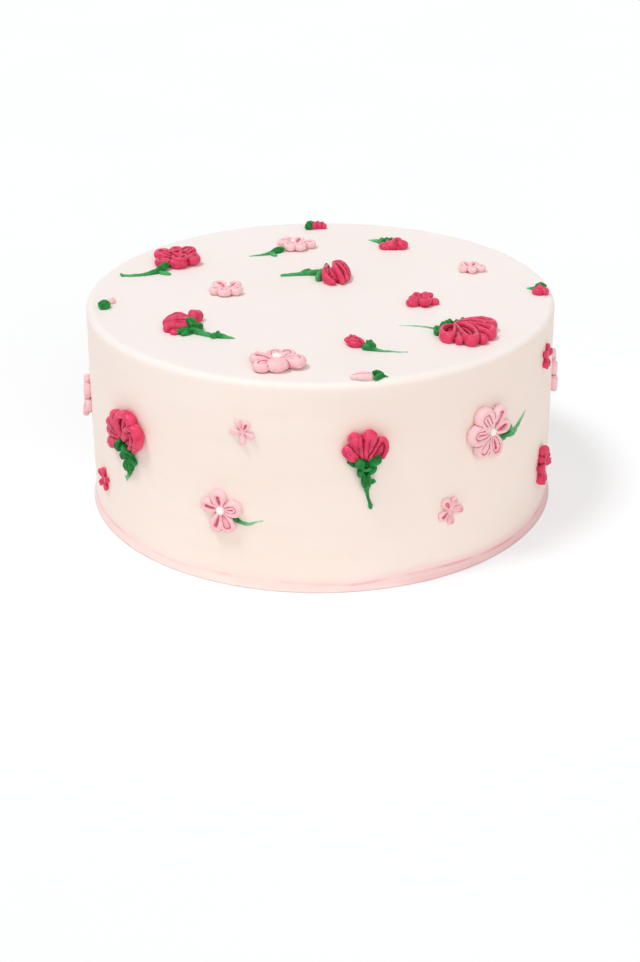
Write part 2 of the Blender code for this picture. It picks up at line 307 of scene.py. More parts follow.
    def stretch(self, wide, right, tall=1.0, up=0.0):
        """Everything laid so far, made wider or taller and moved."""
        self.points = [np.asarray(part) * (wide, tall, 1) + (right, up, 0) for part in self.points]
        self.marks = [(u * wide + right, v * tall + up, h, size, tone) for u, v, h, size, tone in self.marks]

    def mesh(self):
        data = bpy.data.meshes.new("beads")
        data.from_pydata(np.vstack(self.points).tolist(), [], self.faces)
        return data


# ---------------------------------------------------------------- from beads to a skin


def blurred(values, ends, degree, times):
    for _ in range(times):
        total = np.empty_like(values)
        for axis in range(values.shape[1]):
            total[:, axis] = np.bincount(ends[:, 0], values[ends[:, 1], axis], len(values)) + np.bincount(
                ends[:, 1], values[ends[:, 0], axis], len(values)
            )
        values = 0.5 * values + 0.5 * total / degree
    return values


def fused(piping, voxel, soften=1):
    """The beads as one skin, in millimetres, with each point's hollowness and tone."""
    item = link(bpy.data.objects.new("beads", piping.mesh()))
    remesh = item.modifiers.new("fuse", "REMESH")
    remesh.mode = "VOXEL"
    remesh.voxel_size = voxel
    remesh.use_smooth_shade = True
    soft = item.modifiers.new("soften", "SMOOTH")
    soft.factor = 0.5
    soft.iterations = soften
    graph = bpy.context.evaluated_depsgraph_get()
    data = bpy.data.meshes.new_from_object(item.evaluated_get(graph))
    old = item.data
    bpy.data.objects.remove(item)
    bpy.data.meshes.remove(old)
    count = len(data.vertices)
    points = np.empty(count * 3)
    data.vertices.foreach_get("co", points)
    points = points.reshape(-1, 3)
    normals = np.empty(count * 3, np.float32)
    data.vertices.foreach_get("normal", normals)
    normals = normals.reshape(-1, 3)
    ends = np.empty(len(data.edges) * 2, np.int64)
    data.edges.foreach_get("vertices", ends)
    ends = ends.reshape(-1, 2)
    degree = (np.bincount(ends[:, 0], minlength=count) + np.bincount(ends[:, 1], minlength=count))[:, None]
    near = blurred(points, ends, degree, 5)
    far = blurred(near, ends, degree, 29)
    crease = ((near - points) * normals).sum(1) / 0.09
    hollow = ((far - points) * normals).sum(1) / 0.50
    marks = np.array(piping.marks)
    tone = np.empty(count)
    for start in range(0, count, 4000):
        part = points[start : start + 4000]
        gap = np.linalg.norm(part[:, None, :] - marks[None, :, :3], axis=2) - marks[None, :, 3]
        weight = np.exp(-np.clip(gap, -1, 6) / 0.22)
        tone[start : start + 4000] = (weight * marks[None, :, 4]).sum(1) / weight.sum(1)
    return data, points, np.clip(crease, -1, 1.5), np.clip(hollow, -1, 1.5), tone


def ripple(points, size, seed):
    """A soft random field over points, about -1 to 1."""
    random = np.random.default_rng(seed)
    total = np.zeros(len(points))
    for _ in range(5):
        wave = random.normal(size=3)
        wave *= 2 * np.pi / size / np.linalg.norm(wave) * random.uniform(0.7, 1.5)
        total += np.sin(points @ wave + random.uniform(0, 6.3))
    return total / 2.4


def cad_points(node):
    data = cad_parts[node].data
    points = np.empty(len(data.vertices) * 3)
    data.vertices.foreach_get("co", points)
    return points.reshape(-1, 3) / MM


def unrolled(node, around=None):
    """The CAD node's points laid flat: along the wall and up it, or across the top."""
    points = cad_points(node)
    if "_top_" in node:
        return points[:, :2], None
    angle = np.arctan2(points[:, 0], -points[:, 1])
    middle = np.arctan2(np.sin(angle).mean(), np.cos(angle).mean()) if around is None else around
    turn = (angle - middle + np.pi) % (2 * np.pi) - np.pi
    return np.column_stack([turn * BASE_RADIUS, points[:, 2]]), middle


def origin_of(node, flat, tips=()):
    """Where the flower's own origin lies, so that its petals' ends, or its outline, sit on the CAD node's."""
    spread, around = unrolled(node)
    if tips:
        angles, reaches = np.radians([tip[0] for tip in tips]), np.array([tip[1] for tip in tips])
        ways = np.column_stack([np.cos(angles), np.sin(angles)])
        outer = (reaches[None, :] * (ways @ ways.T)).max(1) <= reaches + 0.01
        ends = (spread @ ways[outer].T).max(0) - reaches[outer]
        return np.linalg.lstsq(ways[outer], ends, rcond=None)[0], around
    middle = (spread.min(0) + spread.max(0)) / 2
    return middle - (flat.min(0) + flat.max(0)) / 2, around


def laid(points, origin, around):
    """Flat points set down on the cake, sunk a little into the frosting."""
    u, v, h = points[:, 0] + origin[0], points[:, 1] + origin[1], points[:, 2] - SINK
    if around is None:
        return np.column_stack([u, v, CAKE_HEIGHT + h])
    angle = around + u / BASE_RADIUS
    radius = wall_radius(v) + h
    return np.column_stack([radius * np.sin(angle), -radius * np.cos(angle), v])


def finish_piece(name, data, points, values, material, node):
    data.vertices.foreach_set("co", (points * MM).astype(np.float32).ravel())
    for key, value in values.items():
        layer = data.attributes.new(key, "FLOAT", "POINT")
        layer.data.foreach_set("value", value.astype(np.float32))
    data.update()
    data.name = name
    data.materials.clear()
    data.materials.append(material)
    data.shade_smooth()
    item = link(bpy.data.objects.new(name, data))
    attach(item, "root")
    if node:
        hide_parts(node)
    return item


def icing_piece(node, piping, voxel, material, place=None, seed=0, tips=(), pale=0.0):
    data, points, crease, hollow, tone = fused(piping, voxel)
    origin, around = place or origin_of(node, points[:, :2], tips)
    points = points + 0.09 * np.column_stack([ripple(points, 3.2, seed + k) for k in range(3)])
    finish_piece(
        "icing_" + node,
        data,
        laid(points, origin, around),
        {"crease": crease, "hollow": hollow, "tone": tone, "pale": np.full(len(points), pale)},
        material,
        node,
    )
    return origin, around


# ---------------------------------------------------------------- materials


def new_material(name):
    material = bpy.data.materials.new(name)
    material.use_nodes = True
    return material, material.node_tree, material.node_tree.nodes["Principled BSDF"]


class Nodes:
    """Short names for the nodes used here."""

    def __init__(self, tree):
        self.tree = tree

    def add(self, kind, **settings):
        node = self.tree.nodes.new(kind)
        for key, value in settings.items():
            setattr(node, key, value)
        return node

    def join(self, source, target):
        self.tree.links.new(source, target)

    def attribute(self, name):
        return self.add("ShaderNodeAttribute", attribute_name=name).outputs["Fac"]

    def place(self):
        return self.add("ShaderNodeTexCoord").outputs["Object"]

    def maths(self, operation, a, b=None, clamp=False):
        node = self.add("ShaderNodeMath", operation=operation, use_clamp=clamp)
        for socket, value in zip(node.inputs, (a, b)):
            if isinstance(value, (int, float)):
                socket.default_value = value
            elif value is not None:
                self.join(value, socket)
        return node.outputs[0]

    def ramp(self, value, low, high, to_low=0.0, to_high=1.0, smooth=True):
        node = self.add("ShaderNodeMapRange", interpolation_type="SMOOTHSTEP" if smooth else "LINEAR")
        self.join(value, node.inputs["Value"])
        for key, number in (("From Min", low), ("From Max", high), ("To Min", to_low), ("To Max", to_high)):
            node.inputs[key].default_value = number
        return node.outputs[0]

    def mix(self, factor, a, b):
        node = self.add("ShaderNodeMix", data_type="RGBA")
        for socket, value in ((node.inputs[0], factor), (node.inputs[6], a), (node.inputs[7], b)):
            if isinstance(value, tuple):
                socket.default_value = (*value, 1.0)
            elif isinstance(value, (int, float)):
                socket.default_value = value
            else:
                self.join(value, socket)
        return node.outputs[2]

    def noise(self, scale, detail=2.0, stretch=None, roughness=0.5):
        node = self.add("ShaderNodeTexNoise")
        node.inputs["Scale"].default_value = scale
        node.inputs["Detail"].default_value = detail
        node.inputs["Roughness"].default_value = roughness
        place = self.place()
        if stretch:
            mapping = self.add("ShaderNodeMapping")
            mapping.inputs["Scale"].default_value = stretch
            self.join(place, mapping.inputs["Vector"])
            place = mapping.outputs[0]
        self.join(place, node.inputs["Vector"])
        return node.outputs["Fac"]

    def bump(self, height, strength, distance, shader):
        node = self.add("ShaderNodeBump")
        node.inputs["Strength"].default_value = strength
        node.inputs["Distance"].default_value = distance
        self.join(height, node.inputs["Height"])
        self.join(node.outputs[0], shader.inputs["Normal"])


def icing_material(name, main, light, deep, crease_shade, pale, hollow_share, roughness, specular, subsurface):
    """Piped icing: lighter on its crests, a painted highlight, and deeper in its hollows and creases, painted
    shade.
    """
    material, tree, shader = new_material(name)
    n = Nodes(tree)
    drift = n.noise(260, 2)
    colour = n.mix(n.ramp(drift, 0.36, 0.66), main, light)
    colour = n.mix(n.attribute("pale"), colour, pale)
    # Painted highlight: the crests are mixed towards the lighter colour.
    crest = n.ramp(n.attribute("hollow"), 0.0, -0.7)
    colour = n.mix(n.maths("MULTIPLY", crest, 0.75), colour, n.mix(n.attribute("pale"), light, pale))
    # Painted shade in the toned beads: the floors of hollows and the middles of flowers.
    tone = n.maths("MULTIPLY", n.attribute("tone"), hollow_share)
    colour = n.mix(tone, colour, deep)
    # Painted shade in concave hollows.
    pit = n.ramp(n.attribute("hollow"), 0.10, 0.85)
    colour = n.mix(n.maths("MULTIPLY", pit, 0.8), colour, deep)
    # Painted shade in the creases between beads.
    line = n.ramp(n.attribute("crease"), 0.06, 0.55)
    colour = n.mix(n.maths("MULTIPLY", line, 0.95), colour, crease_shade)
    n.join(colour, shader.inputs["Base Color"])
    shader.inputs["Roughness"].default_value = roughness
    shader.inputs["Specular IOR Level"].default_value = specular
    shader.inputs["Subsurface Weight"].default_value = subsurface
    shader.inputs["Subsurface Radius"].default_value = (1.0, 0.35, 0.3)
    shader.inputs["Subsurface Scale"].default_value = 0.0008
    grain = n.maths("ADD", n.noise(2600, 2), n.maths("MULTIPLY", n.noise(700, 2), 1.5))
    n.bump(grain, 0.2, 0.0002, shader)
    return material


def green_material():
    material, tree, shader = new_material("green_icing")
    n = Nodes(tree)
    drift = n.noise(420, 3)
    colour = n.mix(n.ramp(drift, 0.35, 0.68), (0.004, 0.125, 0.018), (0.012, 0.245, 0.042))
    fade = n.maths("ADD", n.attribute("tone"), n.maths("MULTIPLY", n.maths("SUBTRACT", n.noise(500, 2), 0.5),
                                                       0.35))
    colour = n.mix(n.ramp(fade, 0.08, 0.5), colour, (0.10, 0.43, 0.155))
    colour = n.mix(n.ramp(fade, 0.45, 0.85), colour, (0.33, 0.66, 0.42))
    colour = n.mix(n.ramp(fade, 0.8, 1.1), colour, (0.70, 0.82, 0.66))
    # Painted highlight: the crests are mixed towards a lighter green.
    crest = n.ramp(n.attribute("hollow"), 0.0, -0.7)
    colour = n.mix(n.maths("MULTIPLY", crest, 0.45), colour, (0.045, 0.34, 0.085))
    # Painted shade: the hollows and the creases are mixed towards a dark green.
    pit = n.ramp(n.attribute("hollow"), 0.1, 0.9)
    colour = n.mix(n.maths("MULTIPLY", pit, 0.75), colour, (0.002, 0.045, 0.008))
    line = n.ramp(n.attribute("crease"), 0.1, 0.9)
    colour = n.mix(n.maths("MULTIPLY", line, 0.7), colour, (0.003, 0.06, 0.012))
    n.join(colour, shader.inputs["Base Color"])
    shader.inputs["Roughness"].default_value = 0.3
    shader.inputs["Specular IOR Level"].default_value = 0.1
    shader.inputs["Subsurface Weight"].default_value = 0.12
    shader.inputs["Subsurface Radius"].default_value = (0.3, 1.0, 0.4)
    shader.inputs["Subsurface Scale"].default_value = 0.0008
    n.bump(n.maths("ADD", n.noise(2200, 2), n.noise(800, 2)), 0.3, 0.0002, shader)
    return material


def frosting_material():
    material, tree, shader = new_material("frosting")
    n = Nodes(tree)
    split = n.add("ShaderNodeSeparateXYZ")
    n.join(n.place(), split.inputs[0])
    x, y, z = split.outputs
    cloud = n.noise(9, 3, (1.0, 1.0, 2.2))
    wall = n.mix(n.ramp(cloud, 0.3, 0.7), (0.935, 0.790, 0.705), (0.955, 0.820, 0.745))
    top = n.mix(n.ramp(cloud, 0.3, 0.7), (0.905, 0.815, 0.765), (0.920, 0.840, 0.795))
    colour = n.mix(n.ramp(z, 0.0995, 0.1034), wall, top)
    # The pink band brushed round the foot: a soft wash, and a thin deeper pink line a few millimetres up.
    angle = n.maths("ARCTAN2", x, n.maths("MULTIPLY", y, -1.0))
    # Strongest on the right of the front, weakest on its left.
    right = n.ramp(n.maths("ABSOLUTE", n.maths("SUBTRACT", angle, 0.95)), 1.5, 0.15)
    back = n.ramp(n.maths("ABSOLUTE", angle), 1.9, 2.6)
    left = n.ramp(n.maths("ABSOLUTE", n.maths("ADD", angle, 1.25)), 0.9, 0.2)
    power = n.maths("MAXIMUM", right, n.maths("MAXIMUM", n.maths("MULTIPLY", back, 0.7),
                                              n.maths("MULTIPLY", left, 0.42)))
    power = n.maths("ADD", n.maths("MULTIPLY", power, 0.68), 0.25)
    waver = n.maths("MULTIPLY", n.maths("SUBTRACT", n.noise(16, 3), 0.5), 0.006)
    height = n.maths("ADD", z, waver)
    streak = n.noise(60, 4, (1.0, 1.0, 9.0), 0.65)
    edge = n.maths("ADD", height, n.maths("MULTIPLY", n.maths("SUBTRACT", streak, 0.5), 0.008))
    wash = n.maths("MULTIPLY", n.ramp(edge, 0.0105, 0.0015), n.ramp(streak, 0.25, 0.6, 0.45, 1.0))
    wash = n.maths("MULTIPLY", wash, power)
    colour = n.mix(n.maths("MULTIPLY", wash, 0.7, True), colour, (0.90, 0.45, 0.51))
    centre = n.maths("ABSOLUTE", n.maths("SUBTRACT", height, 0.0042))
    line = n.maths("MULTIPLY", n.ramp(centre, 0.0011, 0.0002), n.ramp(n.noise(38, 3), 0.38, 0.6))
    colour = n.mix(n.maths("MULTIPLY", n.maths("MULTIPLY", line, power), 0.75, True), colour,
                   (0.82, 0.33, 0.36))
    n.join(colour, shader.inputs["Base Color"])
    shader.inputs["Roughness"].default_value = 0.55
    shader.inputs["Specular IOR Level"].default_value = 0.3
    shader.inputs["Subsurface Weight"].default_value = 0.15
    shader.inputs["Subsurface Radius"].default_value = (1.0, 0.55, 0.4)
    shader.inputs["Subsurface Scale"].default_value = 0.003
    marks = n.maths("ADD", n.noise(24, 3, (1.0, 1.0, 5.0)), n.maths("MULTIPLY", n.noise(420, 3), 0.12))
    n.bump(marks, 0.25, 0.0012, shader)
    return material


def cream_material():
    material, tree, shader = new_material("cream_icing")
    n = Nodes(tree)
    colour = n.mix(n.ramp(n.noise(500, 2), 0.35, 0.65), (0.97, 0.93, 0.85), (0.98, 0.95, 0.90))
    # Painted shade: the hollows of the cream middles are mixed towards a deeper pink.
    pit = n.ramp(n.attribute("hollow"), 0.1, 1.0)
    colour = n.mix(n.maths("MULTIPLY", pit, 0.5), colour, (0.93, 0.72, 0.66))
    n.join(colour, shader.inputs["Base Color"])
    shader.inputs["Roughness"].default_value = 0.5
    shader.inputs["Subsurface Weight"].default_value = 0.2
    shader.inputs["Subsurface Radius"].default_value = (1.0, 0.7, 0.5)
    shader.inputs["Subsurface Scale"].default_value = 0.001
    n.bump(n.noise(1800, 2), 0.25, 0.0002, shader)
    return material


# ---------------------------------------------------------------- the cake


def cake():
    """The frosted cake, turned from a finely stepped profile, slightly uneven from the palette knife."""
    profile = [(r, CAKE_HEIGHT) for r in np.linspace(0, 96, 33)[1:]]
    profile += [(r, CAKE_HEIGHT) for r in np.linspace(96, TOP_RADIUS - EDGE_ROUNDING, 14)[1:-1]]
    for angle in np.radians(np.linspace(90, 0, 10)):
        centre = TOP_RADIUS - EDGE_ROUNDING, CAKE_HEIGHT - EDGE_ROUNDING
        profile.append((centre[0] + EDGE_ROUNDING * math.cos(angle),
                        centre[1] + EDGE_ROUNDING * math.sin(angle)))
    for z in np.linspace(CAKE_HEIGHT - EDGE_ROUNDING, FOOT_HEIGHT + 2, 66)[1:]:
        profile.append((wall_radius(z), z))
    for share in np.linspace(0, 1, 9)[1:]:
        z = (FOOT_HEIGHT + 2) * (1 - share)
        profile.append((wall_radius(z) + FOOT_FLARE * share**2.2, z))
    profile = np.array(profile)
    steps = 360
    turn = np.arange(steps) * 2 * np.pi / steps
    rows = len(profile)
    radius = np.repeat(profile[:, 0], steps)
    height = np.repeat(profile[:, 1], steps)
    angle = np.tile(turn, rows)
    ring = np.column_stack([np.sin(angle), -np.cos(angle)])
    place = np.column_stack([ring * radius[:, None], height])
    # Long, low undulations: along the wall, and across the top.
    wall = ripple(place * (1, 1, 2.4), 105, 5) * 0.16 + ripple(place * (1, 1, 4.0), 46, 6) * 0.05
    flat = ripple(place * (1, 1.3, 1), 90, 7) * 0.14 + ripple(place, 30, 8) * 0.04
    on_top = smooth_step(TOP_RADIUS - 4.5, TOP_RADIUS - 1.5, radius) * smooth_step(1.0, 6.0, height)
    radius = radius + wall * on_top
    height = height + flat * smooth_step(CAKE_HEIGHT - 6, CAKE_HEIGHT - 0.5, height) * (1 - on_top * 0.5)
    points = np.column_stack([ring * radius[:, None], height])
    points = np.vstack([points, (0, 0, CAKE_HEIGHT), (0, 0, 0)])
    faces = []
    for i in range(rows - 1):
        for j in range(steps):
            k = (j + 1) % steps
            faces.append((i * steps + j, (i + 1) * steps + j, (i + 1) * steps + k, i * steps + k))
    top, bottom = rows * steps, rows * steps + 1
    for j in range(steps):
        k = (j + 1) % steps
        faces.append((top, j, k))
        faces.append((bottom, (rows - 1) * steps + k, (rows - 1) * steps + j))
    data = bpy.data.meshes.new("cake")
    data.from_pydata(points.tolist(), [], faces)
    finish_piece("icing_cake", data, points, {}, frosting_material(), "cake")


# ---------------------------------------------------------------- the flowers

# Each flower is (petal width, petal height, petals), and each petal is (direction, reach, kind, own settings).
# Those with a function of their own, in CUSTOM, give only where their petals end: (direction, reach).


def petals(piping, width, top, table):
    for entry in table:
        direction, reach, kind = entry[:3]
        own = {"width": width, "top": top, **(entry[3] if len(entry) > 3 else {})}
        piping.petal(direction, reach, own.pop("width"), own.pop("top"), kind, **own)


OPEN_FLOWERS = {
    "flower_pink_top_2": (6.4, 4.6, [
        (162, 10, "fold", {"width": 7.5, "top": 4.4}), (-118, 9, "fold", {"width": 7.6, "top": 4.6}),
        (-62, 9.4, "fold", {"width": 7.2, "top": 4.4}),
        (-2, 11.4, "loop", {"width": 7.6, "top": 4.4, "floor": 0.72}),
        (68, 9, "loop", {"width": 6.4, "top": 4.2, "floor": 0.6}),
        (124, 10, "loop", {"width": 6.8, "top": 4.2, "floor": 0.7}),
    ]),
    "flower_red_top_4": (10, 6.3, [(150, 13.4), (-145, 12.4), (99, 11), (56, 14.4), (-12, 13), (-76, 12)]),
    "flower_pink_top_5": (5, 3.5, [
        (-150, 7.2, "fold"), (-84, 6.6, "fold"), (-16, 8, "fold", {"width": 5.6}), (60, 7, "loop"),
        (122, 7.5, "loop"),
    ]),
    "flower_pink_top_8": (6.6, 4.2, [
        (-150, 9.4, "loop", {"floor": 0.75}), (-98, 8.8, "fold", {"width": 7.4}),
        (-35, 9.4, "fold", {"width": 7.4}), (45, 9.2, "loop", {"floor": 0.6}),
        (128, 9.6, "loop", {"width": 7.4, "floor": 0.7}),
    ]),
    "flower_red_top_9": (6, 4.2, [
        (112, 8.8, "plump", {"width": 5.2, "top": 4.6}), (72, 8.4, "plump", {"width": 4.6, "top": 4.8}),
        (46, 7.6, "fold", {"width": 4.4, "top": 4.6}), (-8, 8.6, "plump", {"width": 5.2, "top": 4.0}),
        (-72, 7.2, "loop", {"width": 6.6, "top": 4.9, "floor": 0.7}),
        (-156, 9.2, "plump", {"width": 6.8, "top": 4.2}), (150, 7.4, "plump", {"width": 4.6, "top": 4.2}),
    ]),
    "flower_red_top_10": (9, 6.6, [(-116, 13.5), (-92, 16), (-70, 19), (-46, 20), (-20, 20.5), (14, 18.5)]),
    "flower_red_top_12": (9, 6.5, [(-158, 13), (178, 13.5), (146, 13), (98, 11.5), (62, 11.5)]),
    "flower_pink_top_14": (9.4, 6, [
        (172, 12, "loop", {"width": 8.6, "top": 5.6, "floor": 0.78}),
        (-136, 12.8, "fold", {"width": 8.4, "top": 4.6}), (95, 10.4, "fold", {"width": 8.6, "top": 4.8}),
        (48, 11.6, "fold", {"width": 8.4, "top": 5.0}), (-14, 14, "fold", {"width": 9.4, "top": 5.6}),
        (-84, 11.6, "plump", {"width": 10.6, "top": 6.4}),
    ]),
    "flower_pink_wall_1": (7, 4.4, [
        (100 + 60 * i, 10.8, ("fold", "loop")[i % 2],
         {"width": 6.6 + i % 3 * 0.6, "top": 3.6 + i % 4 * 0.45})
        for i in range(6)
    ]),
    "flower_red_wall_2": (10, 6.5, [(160, 14), (-160, 12.5), (122, 15), (78, 17), (-12, 14), (22, 17)]),
    "flower_pink_wall_3": (3.3, 2.4, [
        (118, 6.6, "plump"), (62, 5.8, "loop", {"width": 3.8, "floor": 0.6}),
        (-24, 6.2, "plump", {"width": 3.0}), (-92, 6.8, "plump", {"width": 3.6}),
        (182, 6.4, "plump", {"width": 3.6, "bend": 0.1}),
    ]),
    "flower_red_wall_4": (3.4, 2.4, [
        (84 + 72 * i, 6.4, ("finger", "loop")[i % 2], {"top": 2.2 + i % 3 * 0.35, "floor": 0.5})
        for i in range(5)
    ]),
    "flower_pink_wall_5": (7.6, 3.6, [
        (97, 10.5, "loop", {"floor": 0.5, "rim": 0.4, "width": 8.0, "root": 1.6}),
        (166, 10.2, "loop", {"floor": 0.62, "width": 7.4, "rim": 0.42, "root": 1.6}),
        (-104, 11.5, "loop", {"floor": 0.55, "width": 7.2, "rim": 0.42, "root": 1.6}),
        (-60, 11.5, "loop", {"width": 8.0, "floor": 0.86, "rim": 0.32, "root": 1.6}),
        (16, 11, "double", {"floor": 0.42, "width": 8.6, "rim": 0.34, "root": 1.6}),
    ]),
    "flower_red_wall_6": (8.6, 6.2, [(152, 12.5), (115, 14.5), (46, 13.4), (82, 15.2)]),
    "flower_pink_wall_7": (9.5, 5, [
        (124, 16, "double", {"floor": 0.5, "width": 11, "rim": 0.36}),
        (74, 13.5, "loop", {"floor": 0.72, "width": 8.6, "rim": 0.34, "bend": -0.12}),
        (16, 10.4, "loop", {"floor": 0.5, "width": 7.4, "rim": 0.32}),
        (172, 15.5, "double", {"floor": 0.55, "width": 10.8, "rim": 0.34}),
        (-136, 14, "fold", {"width": 8.8, "top": 4.6}),
        (-84, 12.5, "double", {"floor": 0.6, "width": 9.8, "rim": 0.3}),
    ]),
    "flower_pink_wall_8": (4.4, 2.6, [
        (122, 7.2, "loop", {"floor": 0.6, "width": 5.0}), (68, 6.6, "fold", {"width": 3.6}),
        (-8, 7, "fold", {"width": 4.2}), (-88, 7.4, "fold", {"width": 3.8}),
        (-152, 7, "loop", {"floor": 0.6}),
    ]),
    "flower_red_wall_9": (3.8, 2.6, [
        (78 + 72 * i, 6.8, ("finger", "loop")[i % 2], {"top": 2.2 + i % 3 * 0.4, "floor": 0.5})
        for i in range(5)
    ]),
    "flower_pink_wall_10": (7.4, 4, [
        (90 + 60 * i, 11.8, ("fold", "loop")[i % 2], {"width": 6.8 + i % 3 * 0.6, "top": 3.1 + i % 4 * 0.4})
        for i in range(6)
    ]),
    "flower_red_wall_11": (6.2, 4.8, [
        (100, 10.5, "plump", {"width": 4.4, "top": 4.4}), (72, 10, "plump", {"width": 4.4, "top": 4.2}),
        (180, 7.5, "fold", {"width": 5.4, "top": 4.4}), (128, 7.2, "plump", {"width": 4.4, "top": 4.0}),
        (-8, 9, "finger", {"width": 4.0, "top": 4.6}), (30, 8.4, "plump", {"width": 3.4, "top": 4.2}),
        (-118, 10.5, "finger", {"width": 4.8, "top": 4.6}), (-84, 10, "plump", {"width": 4.6, "top": 4.0}),
    ]),
    "flower_pink_wall_12": (4, 2.4, [
        (70 + 72 * i, 6.8, "plump" if i % 2 else "loop", {})
        for i in range(5)
    ]),
    "flower_red_wall_13": (8.6, 6, [
        (140, 13.5, "plump", {"width": 8}), (104, 15.5, "finger", {"width": 8, "top": 6.4}),
        (34, 13, "fold", {"width": 8.4, "top": 5}), (70, 15, "loop", {"width": 8.6, "top": 6.2}),
    ]),
    "flower_pink_wall_14": (6.8, 3.4, [
        (18 + 72 * i, 11, ("loop", "curl", "fold")[i % 3], {})
        for i in range(5)
    ]),
    "flower_red_wall_15": (5, 3, [(50 + 72 * i, 7, ("plump", "fold")[i % 2], {}) for i in range(5)]),
    "flower_red_wall_16": (10, 6.5, [
        (150, 15, "fold", {"width": 9, "top": 5.2}), (40, 15, "curl", {"width": 10.4, "top": 6.0}),
        (118, 16, "plump", {"width": 9.4, "top": 6.0}),
        (84, 17, "loop", {"width": 10.6, "top": 6.6, "floor": 0.45}),
    ]),
    "flower_pink_wall_17": (4, 2.4, [(100 + 72 * i, 7, ("fold", "plump")[i % 2], {}) for i in range(5)]),
    "flower_pink_wall_18": (9, 5, [
        (20 + 60 * i, 13, ("curl", "loop", "fold")[i % 3], {})
        for i in range(6)
    ]),
    "flower_red_wall_19": (5.4, 3.4, [(20 + 72 * i, 8, ("fold", "plump")[i % 2], {}) for i in range(5)]),
    "flower_red_wall_20": (8.6, 6, [
        (146, 13, "fold", {"width": 8, "top": 5.2}), (108, 15, "plump", {"width": 7.8, "top": 6.2}),
        (36, 13.5, "plump", {"width": 8.2, "top": 5}), (74, 15.5, "finger", {"width": 8.4, "top": 6.4}),
    ]),
    "flower_pink_wall_21": (6.6, 3.4, [(40 + 72 * i, 10.5, ("loop", "fold")[i % 2], {}) for i in range(5)]),
    "flower_pink_wall_22": (4, 2.4, [(75 + 72 * i, 6.8, ("fold", "loop")[i % 2], {}) for i in range(5)]),
}

# Small cream middles: (flower, u, v, top, size).
CENTRES = (
    ("flower_pink_top_2", -0.9, 4.4, 3.7, 3.2),
    ("flower_pink_top_5", 0.0, 4.0, 2.9, 3.0),
    ("flower_pink_top_8", 1.0, 4.0, 3.6, 3.0),
    ("flower_pink_top_14", 0.2, 3.4, 4.6, 4.4),
    ("flower_pink_wall_5", 0.3, 0.4, 3.8, 4.0),
    ("flower_pink_wall_7", -0.6, 0.6, 4.2, 3.8),
    ("flower_pink_wall_14", 0.0, 0.0, 3.4, 3.0),
    ("flower_pink_wall_18", 0.0, 0.0, 4.4, 3.4),
    ("flower_pink_wall_21", 0.0, 0.0, 3.4, 2.8),
)


def rose(p):
    """The half-open rose on the top: petals that wrap round from its calyx, one outside another."""
    # The rose's core, toned for painted shade between its petals.
    p.blob(0.2, 0.4, 6.9, 14.6, 14.6, tone=1.0)
    p.rim([(-5.4, 6.2, 6.4), (-7.9, 2.0, 6.8), (-7.8, -3.4, 6.0), (-4.8, -7.2, 4.6), (-2.2, -8.4, 3.4)],
          [1.2, 1.6, 1.9, 2.1, 1.6], [2.2, 2.9, 2.9, 2.3, 1.7])
    p.rim([(-6.0, 5.0, 6.9), (-6.6, 0.6, 7.0), (-5.6, -3.6, 5.8)], [0.6, 0.7, 0.7])
    p.rim([(-2.0, 4.2, 8.2), (-1.4, -0.6, 8.8), (1.0, -4.8, 7.2), (3.4, -7.2, 4.2)], [1.1, 1.9, 2.2, 1.8],
          [2.0, 2.8, 3.0, 2.2])
    p.rim([(-2.0, 2.2, 8.9), (-0.4, -1.4, 8.7), (2.2, -4.4, 6.8)], [0.7, 0.9, 0.9])
    p.rim([(-2.4, 5.0, 8.4), (1.4, 1.2, 9.0), (4.4, -2.4, 7.4), (6.0, -4.9, 4.4)], [0.9, 1.3, 1.5, 1.5],
          [1.4, 1.9, 2.2, 2.0])
    p.rim([(-2.0, 6.0, 8.5), (2.4, 3.6, 9.1), (5.8, 0.4, 7.2), (7.3, -2.4, 4.2)], [0.8, 1.15, 1.3, 1.3],
          [1.3, 1.8, 2.1, 1.9])
    p.rim([(-1.6, 6.9, 8.3), (2.8, 5.8, 8.8), (6.4, 3.2, 6.9), (7.9, 0.6, 4.2)], [0.8, 1.1, 1.2, 1.2],
          [1.3, 1.7, 2.0, 1.9])
    p.rim([(-1.0, 7.8, 7.6), (3.0, 7.9, 7.8), (6.4, 6.0, 6.0), (7.9, 3.6, 3.9)], [0.8, 1.1, 1.2, 1.1],
          [1.3, 1.7, 1.9, 1.8])
    p.rim([(-0.6, 8.6, 6.2), (3.0, 9.3, 6.0), (5.8, 8.0, 4.6)], [0.9, 1.2, 1.2], [1.7, 1.9, 1.8])
    p.stretch(0.8, 0.3)


